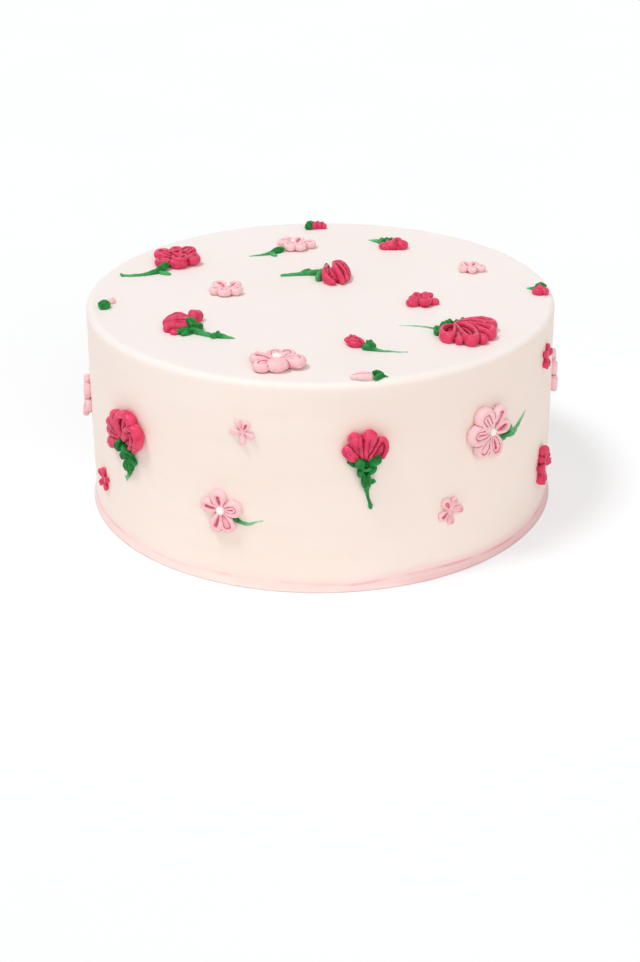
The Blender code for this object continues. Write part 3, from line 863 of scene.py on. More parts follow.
def leaning_red(p):
    """The large red flower at the wall's left: two big looped petals, and flatter ones at its left."""
    # The bed under the right-hand petals, toned for painted shade.
    p.bed([(0.4, 2.0, 3.0), (4.4, 6.4, 3.6), (8.6, 9.6, 3.6)], [3.0, 6.4, 6.6], 0.8)
    # Flatter petals at the left, one over another.
    p.bed([(-0.2, 0.8, 3.6), (-6.0, 1.6, 4.8), (-10.8, 1.4, 4.6)], [1.2, 3.0, 3.4], 0.0)
    p.bed([(-0.2, 2.2, 4.0), (-5.6, 5.0, 5.4), (-9.6, 6.2, 5.2)], [1.2, 2.6, 3.0], 0.0)
    p.bed([(-1.6, -1.2, 3.8), (-6.6, -3.6, 5.0), (-10.0, -4.8, 5.0)], [1.2, 3.0, 3.6], 0.0)
    # The wide left side of the top petal.
    p.bed([(0.6, 3.0, 4.0), (-3.0, 8.0, 5.6), (-3.8, 11.0, 5.6)], [1.4, 4.0, 4.6], 0.0)
    # The petal at the top: a thick loop, with a thin fold inside it.
    p.rim([(2.4, 3.6, 5.0), (-0.2, 8.8, 5.8), (0.6, 12.4, 6.0), (4.4, 14.9, 6.2), (9.0, 15.2, 6.4),
           (11.4, 12.8, 6.4),
           (10.6, 8.8, 6.0)], [1.4, 1.9, 2.1, 2.2, 2.3, 2.3, 1.6])
    p.rim([(5.4, 5.6, 5.0), (6.2, 9.0, 5.6), (6.8, 12.2, 5.6)], [1.3, 1.5, 1.4])
    # The petal at the right: a longer loop, pointed at its foot, round a second one.
    p.rim([(10.6, -3.0, 3.6), (14.6, 1.0, 5.6), (16.4, 5.6, 6.4), (15.6, 9.4, 6.6), (12.2, 10.6, 6.6),
           (8.2, 7.8, 6.2),
           (4.2, 2.8, 5.0)], [1.0, 2.0, 2.3, 2.3, 2.2, 1.9, 1.3])
    p.rim([(4.8, 1.8, 5.0), (7.2, 4.8, 5.8), (9.8, 7.4, 6.0)], [1.4, 2.0, 1.8])
    p.rim([(12.4, 7.0, 6.0), (12.4, 3.2, 5.6), (10.6, 0.0, 5.2), (8.6, -1.6, 4.6)], [1.6, 2.0, 1.9, 1.3])
    p.bed([(7.4, 0.4, 3.9), (10.0, 3.6, 3.5), (12.0, 6.4, 3.6)], [2.2, 3.2, 3.0], 0.2)
    p.bed([(10.4, -3.0, 3.4), (13.0, 0.4, 4.6)], [1.5, 2.6], 0.0)
    p.stretch(0.93, -1.8, 0.97, -1.2)


def tulip_red(p):
    """The red flower at the middle of the wall: four plump fingers, the right one flat within a thin rim."""
    # The bed under the fingers, toned for painted shade.
    p.bed([(-4.0, 3.4, 2.4), (0.0, 4.4, 2.8), (5.0, 3.8, 2.4)], [2.8, 4.4, 2.8], 1.0)
    p.bed([(-3.4, 0.6, 3.4), (-5.8, 3.2, 4.8), (-7.8, 5.4, 5.0)], [2.4, 3.5, 3.4], 0.0)
    p.rim([(-5.0, 1.2, 4.4), (-7.6, 4.2, 5.2), (-8.6, 6.4, 5.0)], [0.9, 1.1, 1.0])
    p.bed([(-1.8, 2.0, 3.6), (-3.6, 7.6, 5.4), (-4.8, 11.4, 6.0)], [1.5, 3.0, 3.5], 0.0)
    p.rim([(-1.6, 2.6, 4.6), (-2.4, 7.8, 6.2), (-2.9, 12.2, 6.0)], [0.8, 1.2, 1.2])
    p.bed([(0.4, 1.8, 3.8), (1.0, 8.0, 5.8), (2.0, 12.0, 6.6)], [1.5, 3.2, 3.8], 0.0)
    p.rim([(0.0, 2.4, 4.8), (-0.2, 8.0, 6.6), (0.4, 12.6, 6.8)], [0.9, 1.3, 1.4])
    p.bed([(2.8, 1.0, 3.2), (6.0, 5.4, 4.2), (7.6, 8.4, 4.4)], [1.4, 3.0, 2.8], 0.3)
    p.rim([(1.6, 0.8, 4.0), (3.6, 5.4, 5.2), (5.8, 9.8, 5.6), (7.8, 11.0, 5.5), (9.4, 8.8, 5.2),
           (9.6, 5.0, 4.8),
           (8.2, 1.2, 4.0)], [0.9, 1.0, 1.2, 1.3, 1.3, 1.2, 1.0])
    p.bed([(4.6, 1.4, 3.2), (7.8, 3.0, 3.4)], [2.0, 1.7], 0.6)
    p.stretch(0.96, 0.0, 0.96, -0.3)


def fan_red(p):
    """The big fan on the top: deep teardrop petals that all run back to one point by the calyx."""
    # The beds and inner folds given a tone here lie in the hollows and take painted shade.
    p.bed([(0.6, 3.0, 2.6), (5.0, -3.0, 2.2), (11.0, -5.0, 2.4)], [2.6, 5.6, 5.6], 1.0)
    p.bed([(-1.0, 2.0, 2.2), (-3.0, -4.0, 2.0), (-4.0, -8.0, 2.2)], [1.6, 2.8, 2.8], 1.0)
    p.rim([(-0.8, 4.2, 3.6), (-4.8, 1.0, 4.6), (-7.0, -4.2, 5.2), (-6.6, -9.6, 5.4), (-4.0, -12.4, 5.4),
           (-1.6, -10.4, 5.4), (-0.6, -4.6, 5.2), (-0.1, 3.0, 4.4)],
          [0.8, 1.0, 1.2, 1.9, 2.2, 1.4, 0.9, 0.7], [1.4, 1.8, 2.4, 2.9, 2.8, 2.2, 1.6, 1.2])
    p.bed([(0.3, -2.0, 4.2), (0.9, -9.0, 4.4), (1.2, -14.2, 4.8)], [0.5, 1.4, 2.3], 0.0)
    p.rim([(0.4, 3.8, 4.4), (1.9, -5.0, 5.4), (3.2, -11.4, 5.8), (5.6, -16.2, 5.8), (8.4, -16.0, 5.8),
           (10.0, -11.4, 5.6), (9.0, -5.4, 5.6), (5.4, 0.2, 5.2), (1.0, 4.0, 4.4)],
          [0.7, 0.9, 1.3, 2.0, 2.2, 1.5, 1.1, 0.9, 0.7], [1.2, 1.5, 2.2, 2.8, 2.8, 2.2, 1.8, 1.4, 1.2])
    p.rim([(3.4, -1.6, 4.2), (6.2, -5.6, 4.2), (7.4, -10.0, 4.2)], [0.5, 0.8, 0.8], tone=0.6)
    p.bed([(8.6, -6.6, 4.0), (11.4, -11.4, 4.8), (12.8, -13.8, 5.0)], [0.9, 2.0, 2.6], 0.0)
    p.rim([(1.4, 4.0, 4.6), (8.0, -1.2, 5.6), (12.8, -6.8, 5.8), (16.0, -9.6, 5.8), (18.4, -7.0, 5.8),
           (17.0, -2.6, 5.8),
           (10.0, 1.4, 5.6), (1.8, 4.4, 4.6)],
          [0.7, 0.9, 1.3, 2.0, 2.1, 1.4, 1.0, 0.7], [1.2, 1.5, 2.0, 2.8, 2.8, 2.2, 1.6, 1.2])
    p.rim([(8.0, 0.0, 4.6), (12.4, -3.2, 5.0), (15.2, -5.6, 4.6)], [0.5, 0.8, 0.8], tone=0.4)
    p.rim([(1.6, 5.0, 4.8), (8.6, 4.2, 6.2), (14.6, 1.6, 6.4), (19.0, 0.8, 6.0), (19.4, 4.6, 5.6),
           (15.4, 7.8, 5.6),
           (8.6, 7.8, 5.4), (2.0, 5.6, 4.8)],
          [0.7, 1.0, 1.4, 2.0, 2.0, 1.7, 1.2, 0.7], [1.2, 1.6, 2.2, 2.8, 2.7, 2.5, 1.9, 1.2])
    p.bed([(7.0, 5.6, 3.2), (15.0, 4.6, 3.8)], [1.3, 2.4], 1.0)
    p.rim([(8.0, 6.2, 4.8), (14.6, 4.8, 5.2)], [0.5, 0.8], tone=0.4)
    p.stretch(0.93, -0.8)


def left_red(p):
    """The red flower at the top's left: a folded pair of petals, and one round petal apart from it."""
    # The bed under the petals, toned for painted shade.
    p.bed([(-1.0, -1.0, 2.8), (-6.0, -2.4, 2.8)], [4.0, 5.0], 1.0)
    p.bed([(0.6, -0.6, 5.0), (-4.4, 2.8, 6.4), (-8.4, 0.8, 5.8)], [2.0, 2.9, 2.7], 0.0)
    p.rim([(-0.6, 1.6, 6.3), (-4.8, 4.8, 6.6), (-8.8, 3.2, 5.8), (-11.0, -0.4, 4.8)], [1.2, 1.8, 1.8, 1.4])
    p.rim([(-0.4, -0.6, 6.3), (-5.0, 0.6, 6.4), (-9.6, -1.2, 5.6)], [1.2, 1.6, 1.4])
    p.bed([(-0.8, -4.0, 4.4), (-5.4, -4.8, 4.8), (-9.4, -5.0, 4.6)], [1.6, 2.5, 2.4], 0.0)
    p.rim([(-0.6, -2.6, 5.0), (-5.6, -3.2, 5.2), (-10.0, -4.0, 4.8)], [1.2, 1.5, 1.3])
    p.bed([(-2.0, -6.6, 3.0), (-6.4, -8.2, 3.0)], [1.8, 2.2], 0.0)
    p.bed([(0.8, 3.8, 4.4), (2.2, 7.0, 6.2), (3.6, 9.2, 5.8)], [1.8, 3.1, 3.0], 0.0)
    p.rim([(0.0, 4.6, 5.2), (0.6, 8.4, 6.2), (2.4, 10.8, 5.4)], [0.8, 1.0, 0.9])


def left_open_red(p):
    """The open red flower at the top's far left: thick petals, looped and folded, round a folded middle."""
    # The middle, toned for painted shade.
    p.blob(0, 0.4, 4.0, 11, 11, tone=0.9)
    p.petal(-145, 12.6, 9.0, 5.0, "fold", rim=0.34)
    p.petal(150, 13.4, 9.8, 6.3, "double", rim=0.32, floor=0.5)
    p.petal(56, 14.2, 9.0, 6.3, "fold", rim=0.34)
    p.petal(96, 10.8, 6.8, 6.8, "loop", rim=0.42, floor=0.55)
    p.petal(-12, 13, 9.2, 5.4, "fold", rim=0.3)
    p.petal(24, 12.6, 5.6, 5.4, "plump")
    p.petal(-76, 12, 10.2, 6.2, "plump")
    p.rim([(-1.6, -2.6, 6.0), (-0.8, -6.6, 6.6), (2.4, -8.8, 6.4), (5.4, -6.4, 6.4), (4.6, -2.4, 6.4),
           (2.0, -1.0, 6.6)],
          [0.9, 1.0, 1.1, 1.0, 0.9, 0.8])
    p.rim([(0.2, -3.4, 6.9), (2.6, -5.2, 6.9), (3.4, -3.2, 6.8)], [0.8, 0.9, 0.7])
    p.rim([(-2.2, 2.8, 6.6), (0.0, 4.6, 7.2), (2.2, 3.2, 6.8), (1.0, 0.8, 6.4), (-1.4, 0.6, 6.2)],
          [0.9, 1.0, 1.0, 0.9, 0.8])


CUSTOM = {
    "flower_red_top_4": left_open_red,
    "flower_red_top_10": fan_red,
    "flower_red_top_12": left_red,
    "flower_red_wall_2": leaning_red,
    "flower_red_wall_6": tulip_red,
}


def buds():
    """The rose and the closed buds, each laid out round its own middle: the beads of its folds."""
    found = {"flower_red_top_6": Piping()}
    rose(found["flower_red_top_6"])
    p = Piping()
    p.blob(-2.0, -0.2, 4.4, 5.6, 3.8, 62)
    p.blob(0.6, 0.2, 4.2, 5.0, 3.4, 66)
    p.blob(2.8, 0.0, 3.3, 4.0, 2.8, 74)
    p.rim([(-2.2, -1.8, 3.0), (-0.6, 1.6, 4.6)], [0.7, 0.9])
    p.rim([(0.6, -1.6, 2.9), (2.0, 1.6, 4.0)], [0.6, 0.8])
    found["bud_red_top_1"] = p
    p = Piping()
    p.blob(-4.2, -1.2, 3.8, 7.2, 6.4, 150)
    p.blob(-0.4, -0.8, 4.6, 8.0, 7.0, 115)
    p.blob(4.6, -0.4, 4.9, 8.2, 7.6, 105)
    p.blob(2.6, 2.6, 5.6, 6.0, 4.0, 10)
    p.rim([(-2.4, -3.4, 2.2), (-3.2, -0.6, 4.4), (-2.6, 2.2, 4.4)], [0.7, 0.9, 0.8])
    p.rim([(2.4, -3.6, 2.4), (0.8, -0.6, 5.0), (0.6, 2.6, 5.2)], [0.8, 1.1, 0.9])
    found["bud_red_top_3"] = p
    p = Piping()
    p.blob(-1.3, -0.6, 3.8, 6.4, 5.2, 150)
    p.blob(1.7, -0.2, 3.9, 6.4, 4.8, 110)
    p.blob(-0.2, 0.8, 4.6, 4.8, 4.6, 0)
    p.rim([(0.4, -2.4, 2.2), (0.4, 0.2, 4.6), (-0.4, 2.0, 4.9)], [0.6, 0.8, 0.7])
    found["bud_red_top_7"] = p
    p = Piping()
    p.blob(0, 0, 2.8, 5.6, 4.2, 60)
    p.blob(0.5, 0.8, 3.1, 4.0, 2.0, 60)
    found["bud_pink_top_11"] = p
    p = Piping()
    p.blob(-0.4, 0.2, 4.0, 8.6, 8.0, 140)
    for u, v, turn, size in ((-3.4, 1.6, 20, 1.5), (-2.4, 3.6, 70, 1.4), (-3.0, -0.2, 150, 1.4),
                             (-0.6, 2.6, 100, 1.4),
                             (-1.2, 0.6, 30, 1.5), (0.8, 1.2, 120, 1.4), (-0.6, -1.8, 160, 1.4), (1.4, -0.8,
                                                                                                  60, 1.4),
                             (2.6, -1.8, 130, 1.3)):
        a = math.radians(turn)
        top = 4.9 - 0.25 * abs(u) + 0.3 * math.sin(5 * u)
        p.rim([(u - size * math.cos(a), v - size * math.sin(a), top - 0.9), (u, v, top),
               (u + size * math.cos(a), v + size * math.sin(a), top - 0.9)], [0.7, 0.85, 0.7], [1.0, 1.3,
                                                                                                1.0])
    found["bud_red_top_13"] = p
    p = Piping()
    p.bed([(-4.0, 0.2, 2.4), (0.0, 0.0, 3.6), (3.0, 0.0, 3.2)], [1.4, 2.6, 2.4], 0.0)
    p.rim([(-4.4, -0.6, 2.2), (-0.6, -1.7, 3.6), (3.4, -1.4, 3.2)], [0.8, 1.2, 1.1])
    p.rim([(-4.2, 0.4, 2.6), (-0.4, 0.2, 4.1), (3.6, 0.2, 3.6)], [0.7, 1.0, 1.0])
    p.rim([(-3.4, 1.4, 2.2), (0.0, 2.0, 3.5), (3.2, 1.6, 3.0)], [0.7, 1.1, 1.0])
    found["bud_pink_top_15"] = p
    return found


# How far each pink flower leans to the palest pink.
PALE = {
    "flower_pink_top_2": 0.55,
    "flower_pink_top_5": 0.55,
    "flower_pink_top_8": 0.5,
    "flower_pink_top_14": 0.35,
    "bud_pink_top_11": 0.4,
    "bud_pink_top_15": 0.6,
    "flower_pink_wall_1": 0.25,
    "flower_pink_wall_3": 0.35,
    "flower_pink_wall_5": 0.3,
    "flower_pink_wall_7": 0.5,
    "flower_pink_wall_8": 0.2,
    "flower_pink_wall_10": 0.5,
    "flower_pink_wall_18": 0.45,
}


# ---------------------------------------------------------------- greens


def stem(piping, path, radii, tones, high=1.0):
    """A stem drawn on the frosting: half sunk, and thinner as it runs out."""
    radii = along(radii, len(path))
    rows = [(u, v, max(0.15, r * high - 0.35)) for (u, v), r in zip(path, radii)]
    piping.bead(rows, radii, radii * high, tones)


def leaf(piping, root, tip, width, top, tone=0.0, ribs=2):
    """A short ruffled leaf: a body with ribs along it."""
    root, tip = np.array(root, float), np.array(tip, float)
    heading = tip - root
    length = np.linalg.norm(heading)
    heading /= length
    aside = np.array([-heading[1], heading[0]])
    middle = (root + tip) / 2
    piping.blob(*middle, top * 0.82, length + width * 0.5, width,
                math.degrees(math.atan2(heading[1], heading[0])), tone=tone)
    for k in range(ribs):
        off = (k - (ribs - 1) / 2) * width * 0.5
        size = width / (ribs + 1.6)
        line = [root + aside * off * 0.6, middle + aside * off, tip + aside * off * 0.7]
        piping.bead([(*point, h) for point, h in zip(line, (top * 0.5, top * 0.68, top * 0.45))],
                    [size * 0.8, size, size * 0.7], [top * 0.3, top * 0.34, top * 0.28], tone)


def greens():
    """Calyxes and stems, each laid out from its flower's own middle."""
    found = {}
    p = Piping()
    p.blob(-0.2, 0, 4.4, 6.4, 5.0, 70)
    p.rim([(-2.0, -2.2, 2.6), (-1.0, 0.0, 4.6), (0.8, 2.2, 4.2)], [0.8, 1.0, 0.8])
    p.rim([(0.0, -2.6, 2.4), (1.0, -0.4, 4.4), (2.2, 2.0, 3.8)], [0.7, 0.9, 0.7])
    p.stretch(1.0, -5.2)
    found["green_top_1"] = p
    p = Piping()
    leaf(p, (-6.6, -6.4), (-12.0, -9.8), 3.6, 3.6, 0.0, 1)
    stem(p, [(-9, -8.6), (-13.5, -11.2), (-18, -12.6), (-24, -14)], [1.5, 1.1, 0.7, 0.5],
         [0.1, 0.3, 0.4, 0.75], 1.1)
    leaf(p, (-12.6, -11.4), (-10.2, -14.0), 2.8, 2.0, 0.5, 1)
    found["green_top_2"] = p
    p = Piping()
    for u, size in ((-0.4, 1.7), (-3.0, 1.9), (-5.8, 2.0)):
        p.blob(u, 9.2 + 0.1 * u, 3.6, size * 1.7, size * 1.7, 60, tone=0.05 if u > -4 else 0.3)
    p.blob(-6.8, 7.8, 2.8, 3.4, 2.2, -70, tone=0.5)
    stem(p, [(-5.4, 9.4), (-9, 11.2), (-12.6, 13.8)], [1.7, 1.3, 0.6], [0.35, 0.6, 0.9], 0.8)
    found["green_top_3"] = p
    p = Piping()
    p.bead([(-4.8, -10.0, 3.0), (-6.6, -12.4, 2.4), (-9.6, -15.8, 1.2)], [1.9, 2.1, 1.4], [1.8, 2.0, 1.4],
           [0.0, 0.0, 0.15])
    p.bead([(-4.8, -11.4, 4.2), (-8.4, -15.0, 2.4)], [0.7, 0.8], [0.9, 0.9], 0.2)
    stem(p, [(-8.4, -15), (-14, -18), (-20, -19.4), (-26.4, -19.2)], [1.5, 1.0, 0.8, 0.75],
         [0.15, 0.28, 0.38, 0.5], 1.2)
    p.bead([(-26.4, -19.2, 0.6), (-27.2, -17.6, 0.9)], [1.0, 0.8], [0.8, 0.7], 0.2)
    leaf(p, (-7.6, -16.0), (-2.2, -18.2), 2.6, 2.2, 0.4, 1)
    found["green_top_4"] = p
    p = Piping()
    leaf(p, (-7.6, 3.0), (-9.6, -2.4), 4.0, 4.6, 0.35, 1)
    leaf(p, (-5.6, 6.6), (-4.6, 9.6), 3.0, 6.4, 0.3, 1)
    stem(p, [(-7.0, 5.6), (-12.0, 7.4), (-18.0, 7.2), (-28.0, 6.0)], [1.8, 1.3, 0.95, 0.7],
         [0.3, 0.3, 0.32, 0.45], 1.3)
    p.bead([(-17.6, 8.4, 1.2), (-15.0, 9.6, 1.8), (-12.2, 8.8, 1.6)], [0.9, 1.0, 0.9], [1.0, 1.1, 1.0], 0.3)
    leaf(p, (-14.8, 9.6), (-13.6, 12.4), 1.8, 2.8, 0.12, 1)
    found["green_top_6"] = p
    p = Piping()
    p.bead([(2.4, 3.0, 2.8), (0.6, 4.2, 3.2), (-1.4, 3.8, 2.8)], [1.0, 1.4, 1.0], [1.4, 1.8, 1.4], 0.0)
    leaf(p, (-1.2, 4.4), (-3.4, 6.0), 2.0, 2.4, 0.3, 1)
    stem(p, [(-2.0, 5.2), (-3.8, 6.8), (-5.6, 8.0)], [1.0, 0.8, 0.5], [0.3, 0.55, 0.85], 1.1)
    found["green_top_7"] = p
    p = Piping()
    leaf(p, (-8.4, 0.6), (-9.4, -3.4), 3.4, 4.6, 0.2, 2)
    p.blob(-5.4, 3.8, 5.0, 4.8, 3.4, 20, tone=0.14)
    p.blob(-2.8, 5.6, 5.6, 3.8, 3.2, 70, tone=0.02)
    p.blob(-4.0, 6.2, 4.6, 3.4, 2.4, 20, tone=0.08)
    p.blob(0.8, 7.4, 4.6, 3.2, 2.4, 20, tone=0.02)
    p.blob(3.6, 8.6, 5.0, 3.4, 2.6, 70, tone=0.06)
    p.blob(5.6, 8.8, 4.2, 2.8, 2.2, -20, tone=0.1)
    p.rim([(-7.4, 1.4, 3.4), (-4.6, 4.4, 4.2), (0, 6.6, 4.0), (4.4, 8.2, 3.8)], [1.1, 1.4, 1.2, 1.0])
    stem(p, [(-7.2, 3.6), (-13, 7.2), (-19, 9.0), (-26, 10)], [1.0, 0.85, 0.75, 0.5], [0.4, 0.7, 0.85, 1.0],
         0.8)
    found["green_top_10"] = p
    p = Piping()
    p.blob(0, 0.2, 3.9, 6.2, 6.4)
    for k in range(4):
        u = -2.2 + 1.5 * k
        p.bead([(u * 0.5, -2.9, 0.9), (u, -1.0, 3.2 - 0.35 * abs(u)), (u * 0.55, 1.9, 3.3 - 0.3 * abs(u))],
               [0.7, 0.85, 0.7], [0.9, 1.1, 0.9])
    found["green_top_11"] = p
    p = Piping()
    leaf(p, (2.4, -6.0), (-0.4, 0.6), 3.8, 6.6, 0.0, 2)
    leaf(p, (3.4, -6.2), (2.6, 0.2), 2.4, 6.2, 0.05, 1)
    leaf(p, (3.8, -6.6), (6.4, -2.0), 3.2, 4.4, 0.05, 1)
    leaf(p, (1.6, -7.4), (-4.4, -8.6), 3.6, 3.8, 0.1, 2)
    leaf(p, (1.6, -8.6), (-2.4, -10.8), 2.6, 2.8, 0.15, 1)
    stem(p, [(2.6, -7.0), (6.4, -9.4), (11.2, -12.2), (13.4, -13.4)], [1.6, 1.25, 1.05, 1.0],
         [0.2, 0.3, 0.35, 0.25], 1.3)
    p.blob(12.6, -13.6, 3.2, 3.4, 2.8, 40, tone=0.22)
    p.blob(14.4, -11.8, 3.4, 3.0, 2.2, 60, tone=0.02)
    stem(p, [(15.0, -13.2), (18.6, -14.0), (22.6, -14.6)], [1.3, 0.9, 0.3], [0.1, 0.4, 0.75], 1.3)
    found["green_top_12"] = p
    p = Piping()
    leaf(p, (6.6, -5.4), (5.6, -0.6), 3.2, 4.2, 0.15, 2)
    leaf(p, (6.4, -5.6), (3.4, -4.8), 3.6, 3.4, 0.2, 2)
    p.blob(7.6, -4.6, 3.6, 4.4, 3.4, 80, tone=0.1)
    stem(p, [(7.0, -5.6), (11, -7.4), (16, -8.2), (23, -9)], [1.5, 0.9, 0.7, 0.55], [0.2, 0.5, 0.6, 0.75],
         0.9)
    found["green_top_13"] = p
    p = Piping()
    leaf(p, (9.4, 0.4), (5.4, 2.6), 2.4, 3.4, 0.0, 1)
    leaf(p, (9.4, 0.2), (6.2, -2.8), 2.4, 3.0, 0.0, 1)
    stem(p, [(8.6, 1.0), (11.6, 0.6)], [1.2, 0.6], [0.1, 0.4])
    found["green_top_15"] = p
    p = Piping()
    leaf(p, (-2.6, -2.2), (-4.6, -7.4), 3.4, 5.4, 0.08, 2)
    leaf(p, (0.2, -4.6), (5.6, -6.6), 4.4, 5.2, 0.0, 2)
    leaf(p, (-0.6, -6.6), (-2.6, -11.6), 3.0, 4.0, 0.05, 1)
    p.blob(2.0, -8.4, 4.4, 5.8, 3.6, 70)
    leaf(p, (3.6, -7.6), (7.4, -11.4), 3.2, 4.2, 0.03, 2)
    leaf(p, (1.6, -10.6), (1.6, -16.0), 3.4, 4.0, 0.05, 2)
    leaf(p, (4.4, -11.0), (3.8, -15.6), 2.8, 3.4, 0.02, 1)
    p.blob(-0.4, -16.6, 2.6, 2.4, 1.8, 20, tone=0.05)
    stem(p, [(2.2, -14.0), (1.6, -17.6), (-0.6, -20.6), (-2.6, -23.8)], [1.9, 1.4, 0.9, 0.4],
         [0.05, 0.2, 0.55, 1.0], 0.9)
    p.blob(-2.4, -21.6, 1.2, 2.6, 1.2, 60, tone=0.7)
    found["green_wall_2"] = p
    p = Piping()
    stem(p, [(7.0, -3.4), (10, -5.0), (13.4, -5.2), (17, -3.8), (21, -2.6)], [1.2, 1.0, 0.85, 0.6, 0.4],
         [0.0, 0.45, 0.75, 0.95, 1.1], 0.8)
    p.blob(7.4, -3.4, 2.8, 2.4, 2.2, -30)
    found["green_wall_5"] = p
    p = Piping()
    leaf(p, (-3.8, -3.0), (-7.4, -0.8), 2.6, 3.2, 0.05, 1)
    p.blob(-2.5, -0.9, 5.9, 5.8, 5.2, 80)
    p.blob(4.1, -0.4, 6.0, 7.2, 5.0, 24)
    p.blob(0.6, -2.0, 4.0, 4.4, 4.0, 90)
    p.blob(-2.0, -6.0, 4.4, 5.2, 3.4, 80)
    p.blob(3.0, -4.8, 5.0, 5.4, 4.2, 50)
    p.blob(0.5, -6.4, 2.6, 4.4, 3.6, 90)
    p.rim([(-1.8, -3.0, 4.8), (0.2, -4.2, 5.2), (2.0, -3.4, 4.8)], [0.7, 0.9, 0.7], tone=0.2)
    p.rim([(-0.6, -6.6, 4.2), (-0.2, -9.0, 4.8)], [0.6, 0.8])
    p.rim([(1.2, -6.8, 4.2), (1.2, -9.2, 4.8)], [0.6, 0.8])
    p.blob(0.5, -10.6, 4.9, 7.4, 5.0, 90)
    p.rim([(0.4, -8.4, 4.8), (0.6, -12.0, 5.2)], [0.8, 0.9])
    p.blob(3.4, -11.6, 2.8, 3.4, 2.2, 18, tone=0.3)
    stem(p, [(0.7, -13.0), (1.1, -16.5), (1.8, -20.0), (2.6, -23.0)], [1.8, 1.0, 0.75, 0.8],
         [0.05, 0.1, 0.14, 0.1], 1.0)
    leaf(p, (2.7, -22.6), (2.8, -25.0), 2.0, 2.2, 0.08, 1)
    found["green_wall_6"] = p
    p = Piping()
    leaf(p, (4.2, -3.2), (12.0, -5.2), 2.8, 3.4, 0.0, 1)
    leaf(p, (6.6, -5.8), (11.4, -7.0), 2.6, 1.8, 0.5, 1)
    stem(p, [(11.0, -5.4), (16.4, -6.4), (19.6, -5.4), (24.0, -2.8), (29.4, 0.4)],
         [1.2, 1.5, 1.1, 0.85, 0.4],
         [0.35, 0.55, 0.6, 0.7, 1.05], 0.8)
    leaf(p, (16.2, -5.8), (13.2, 0.0), 2.8, 2.0, 0.52, 1)
    found["green_wall_7"] = p
    for node, lean, side in (("green_wall_13", -0.1, -1), ("green_wall_16", 0.26, 1),
                             ("green_wall_20", 0.06, -1)):
        p = Piping()
        p.blob(-2.8, -5.2, 5.2, 5.0, 5.0, 75)
        p.blob(3.0, -5.4, 5.4, 5.6, 5.0, 50)
        p.blob(0.2, -8.6, 4.6, 6.4, 5.6, 90)
        p.blob(side * 2.8, -10.6, 3.8, 4.6, 3.2, 90 + side * 20)
        p.blob(-12.5 * lean, -13.2, 4.2, 7.4, 4.6, 90)
        leaf(p, (side * 1.0 - 11 * -lean, -11.6), (side * 5.2, -11.4), 2.8, 2.8, 0.15, 1)
        stem(p, [(15 * lean, -14.6), (19 * lean, -18.4), (24 * lean, -23)], [1.9, 1.3, 0.8],
             [0.08, 0.2, 0.5])
        found[node] = p
    p = Piping()
    p.blob(-8.0, -5.2, 2.6, 2.6, 2.4, 30)
    stem(p, [(-8.2, -5.4), (-10.6, -6), (-13.6, -5.8), (-19, -4)], [1.3, 1.0, 0.8, 0.45],
         [0.0, 0.4, 0.7, 1.05], 0.8)
    found["green_wall_14"] = p
    p = Piping()
    leaf(p, (-9.6, -6.0), (-15.0, -9.6), 3.4, 3.2, 0.0, 1)
    stem(p, [(-13.6, -9.2), (-18, -10.6), (-25, -10)], [1.4, 1.2, 0.5], [0.3, 0.55, 1.0], 0.8)
    leaf(p, (-15.5, -9.8), (-17, -14.6), 2.6, 2.0, 0.4, 1)
    found["green_wall_18"] = p
    return found


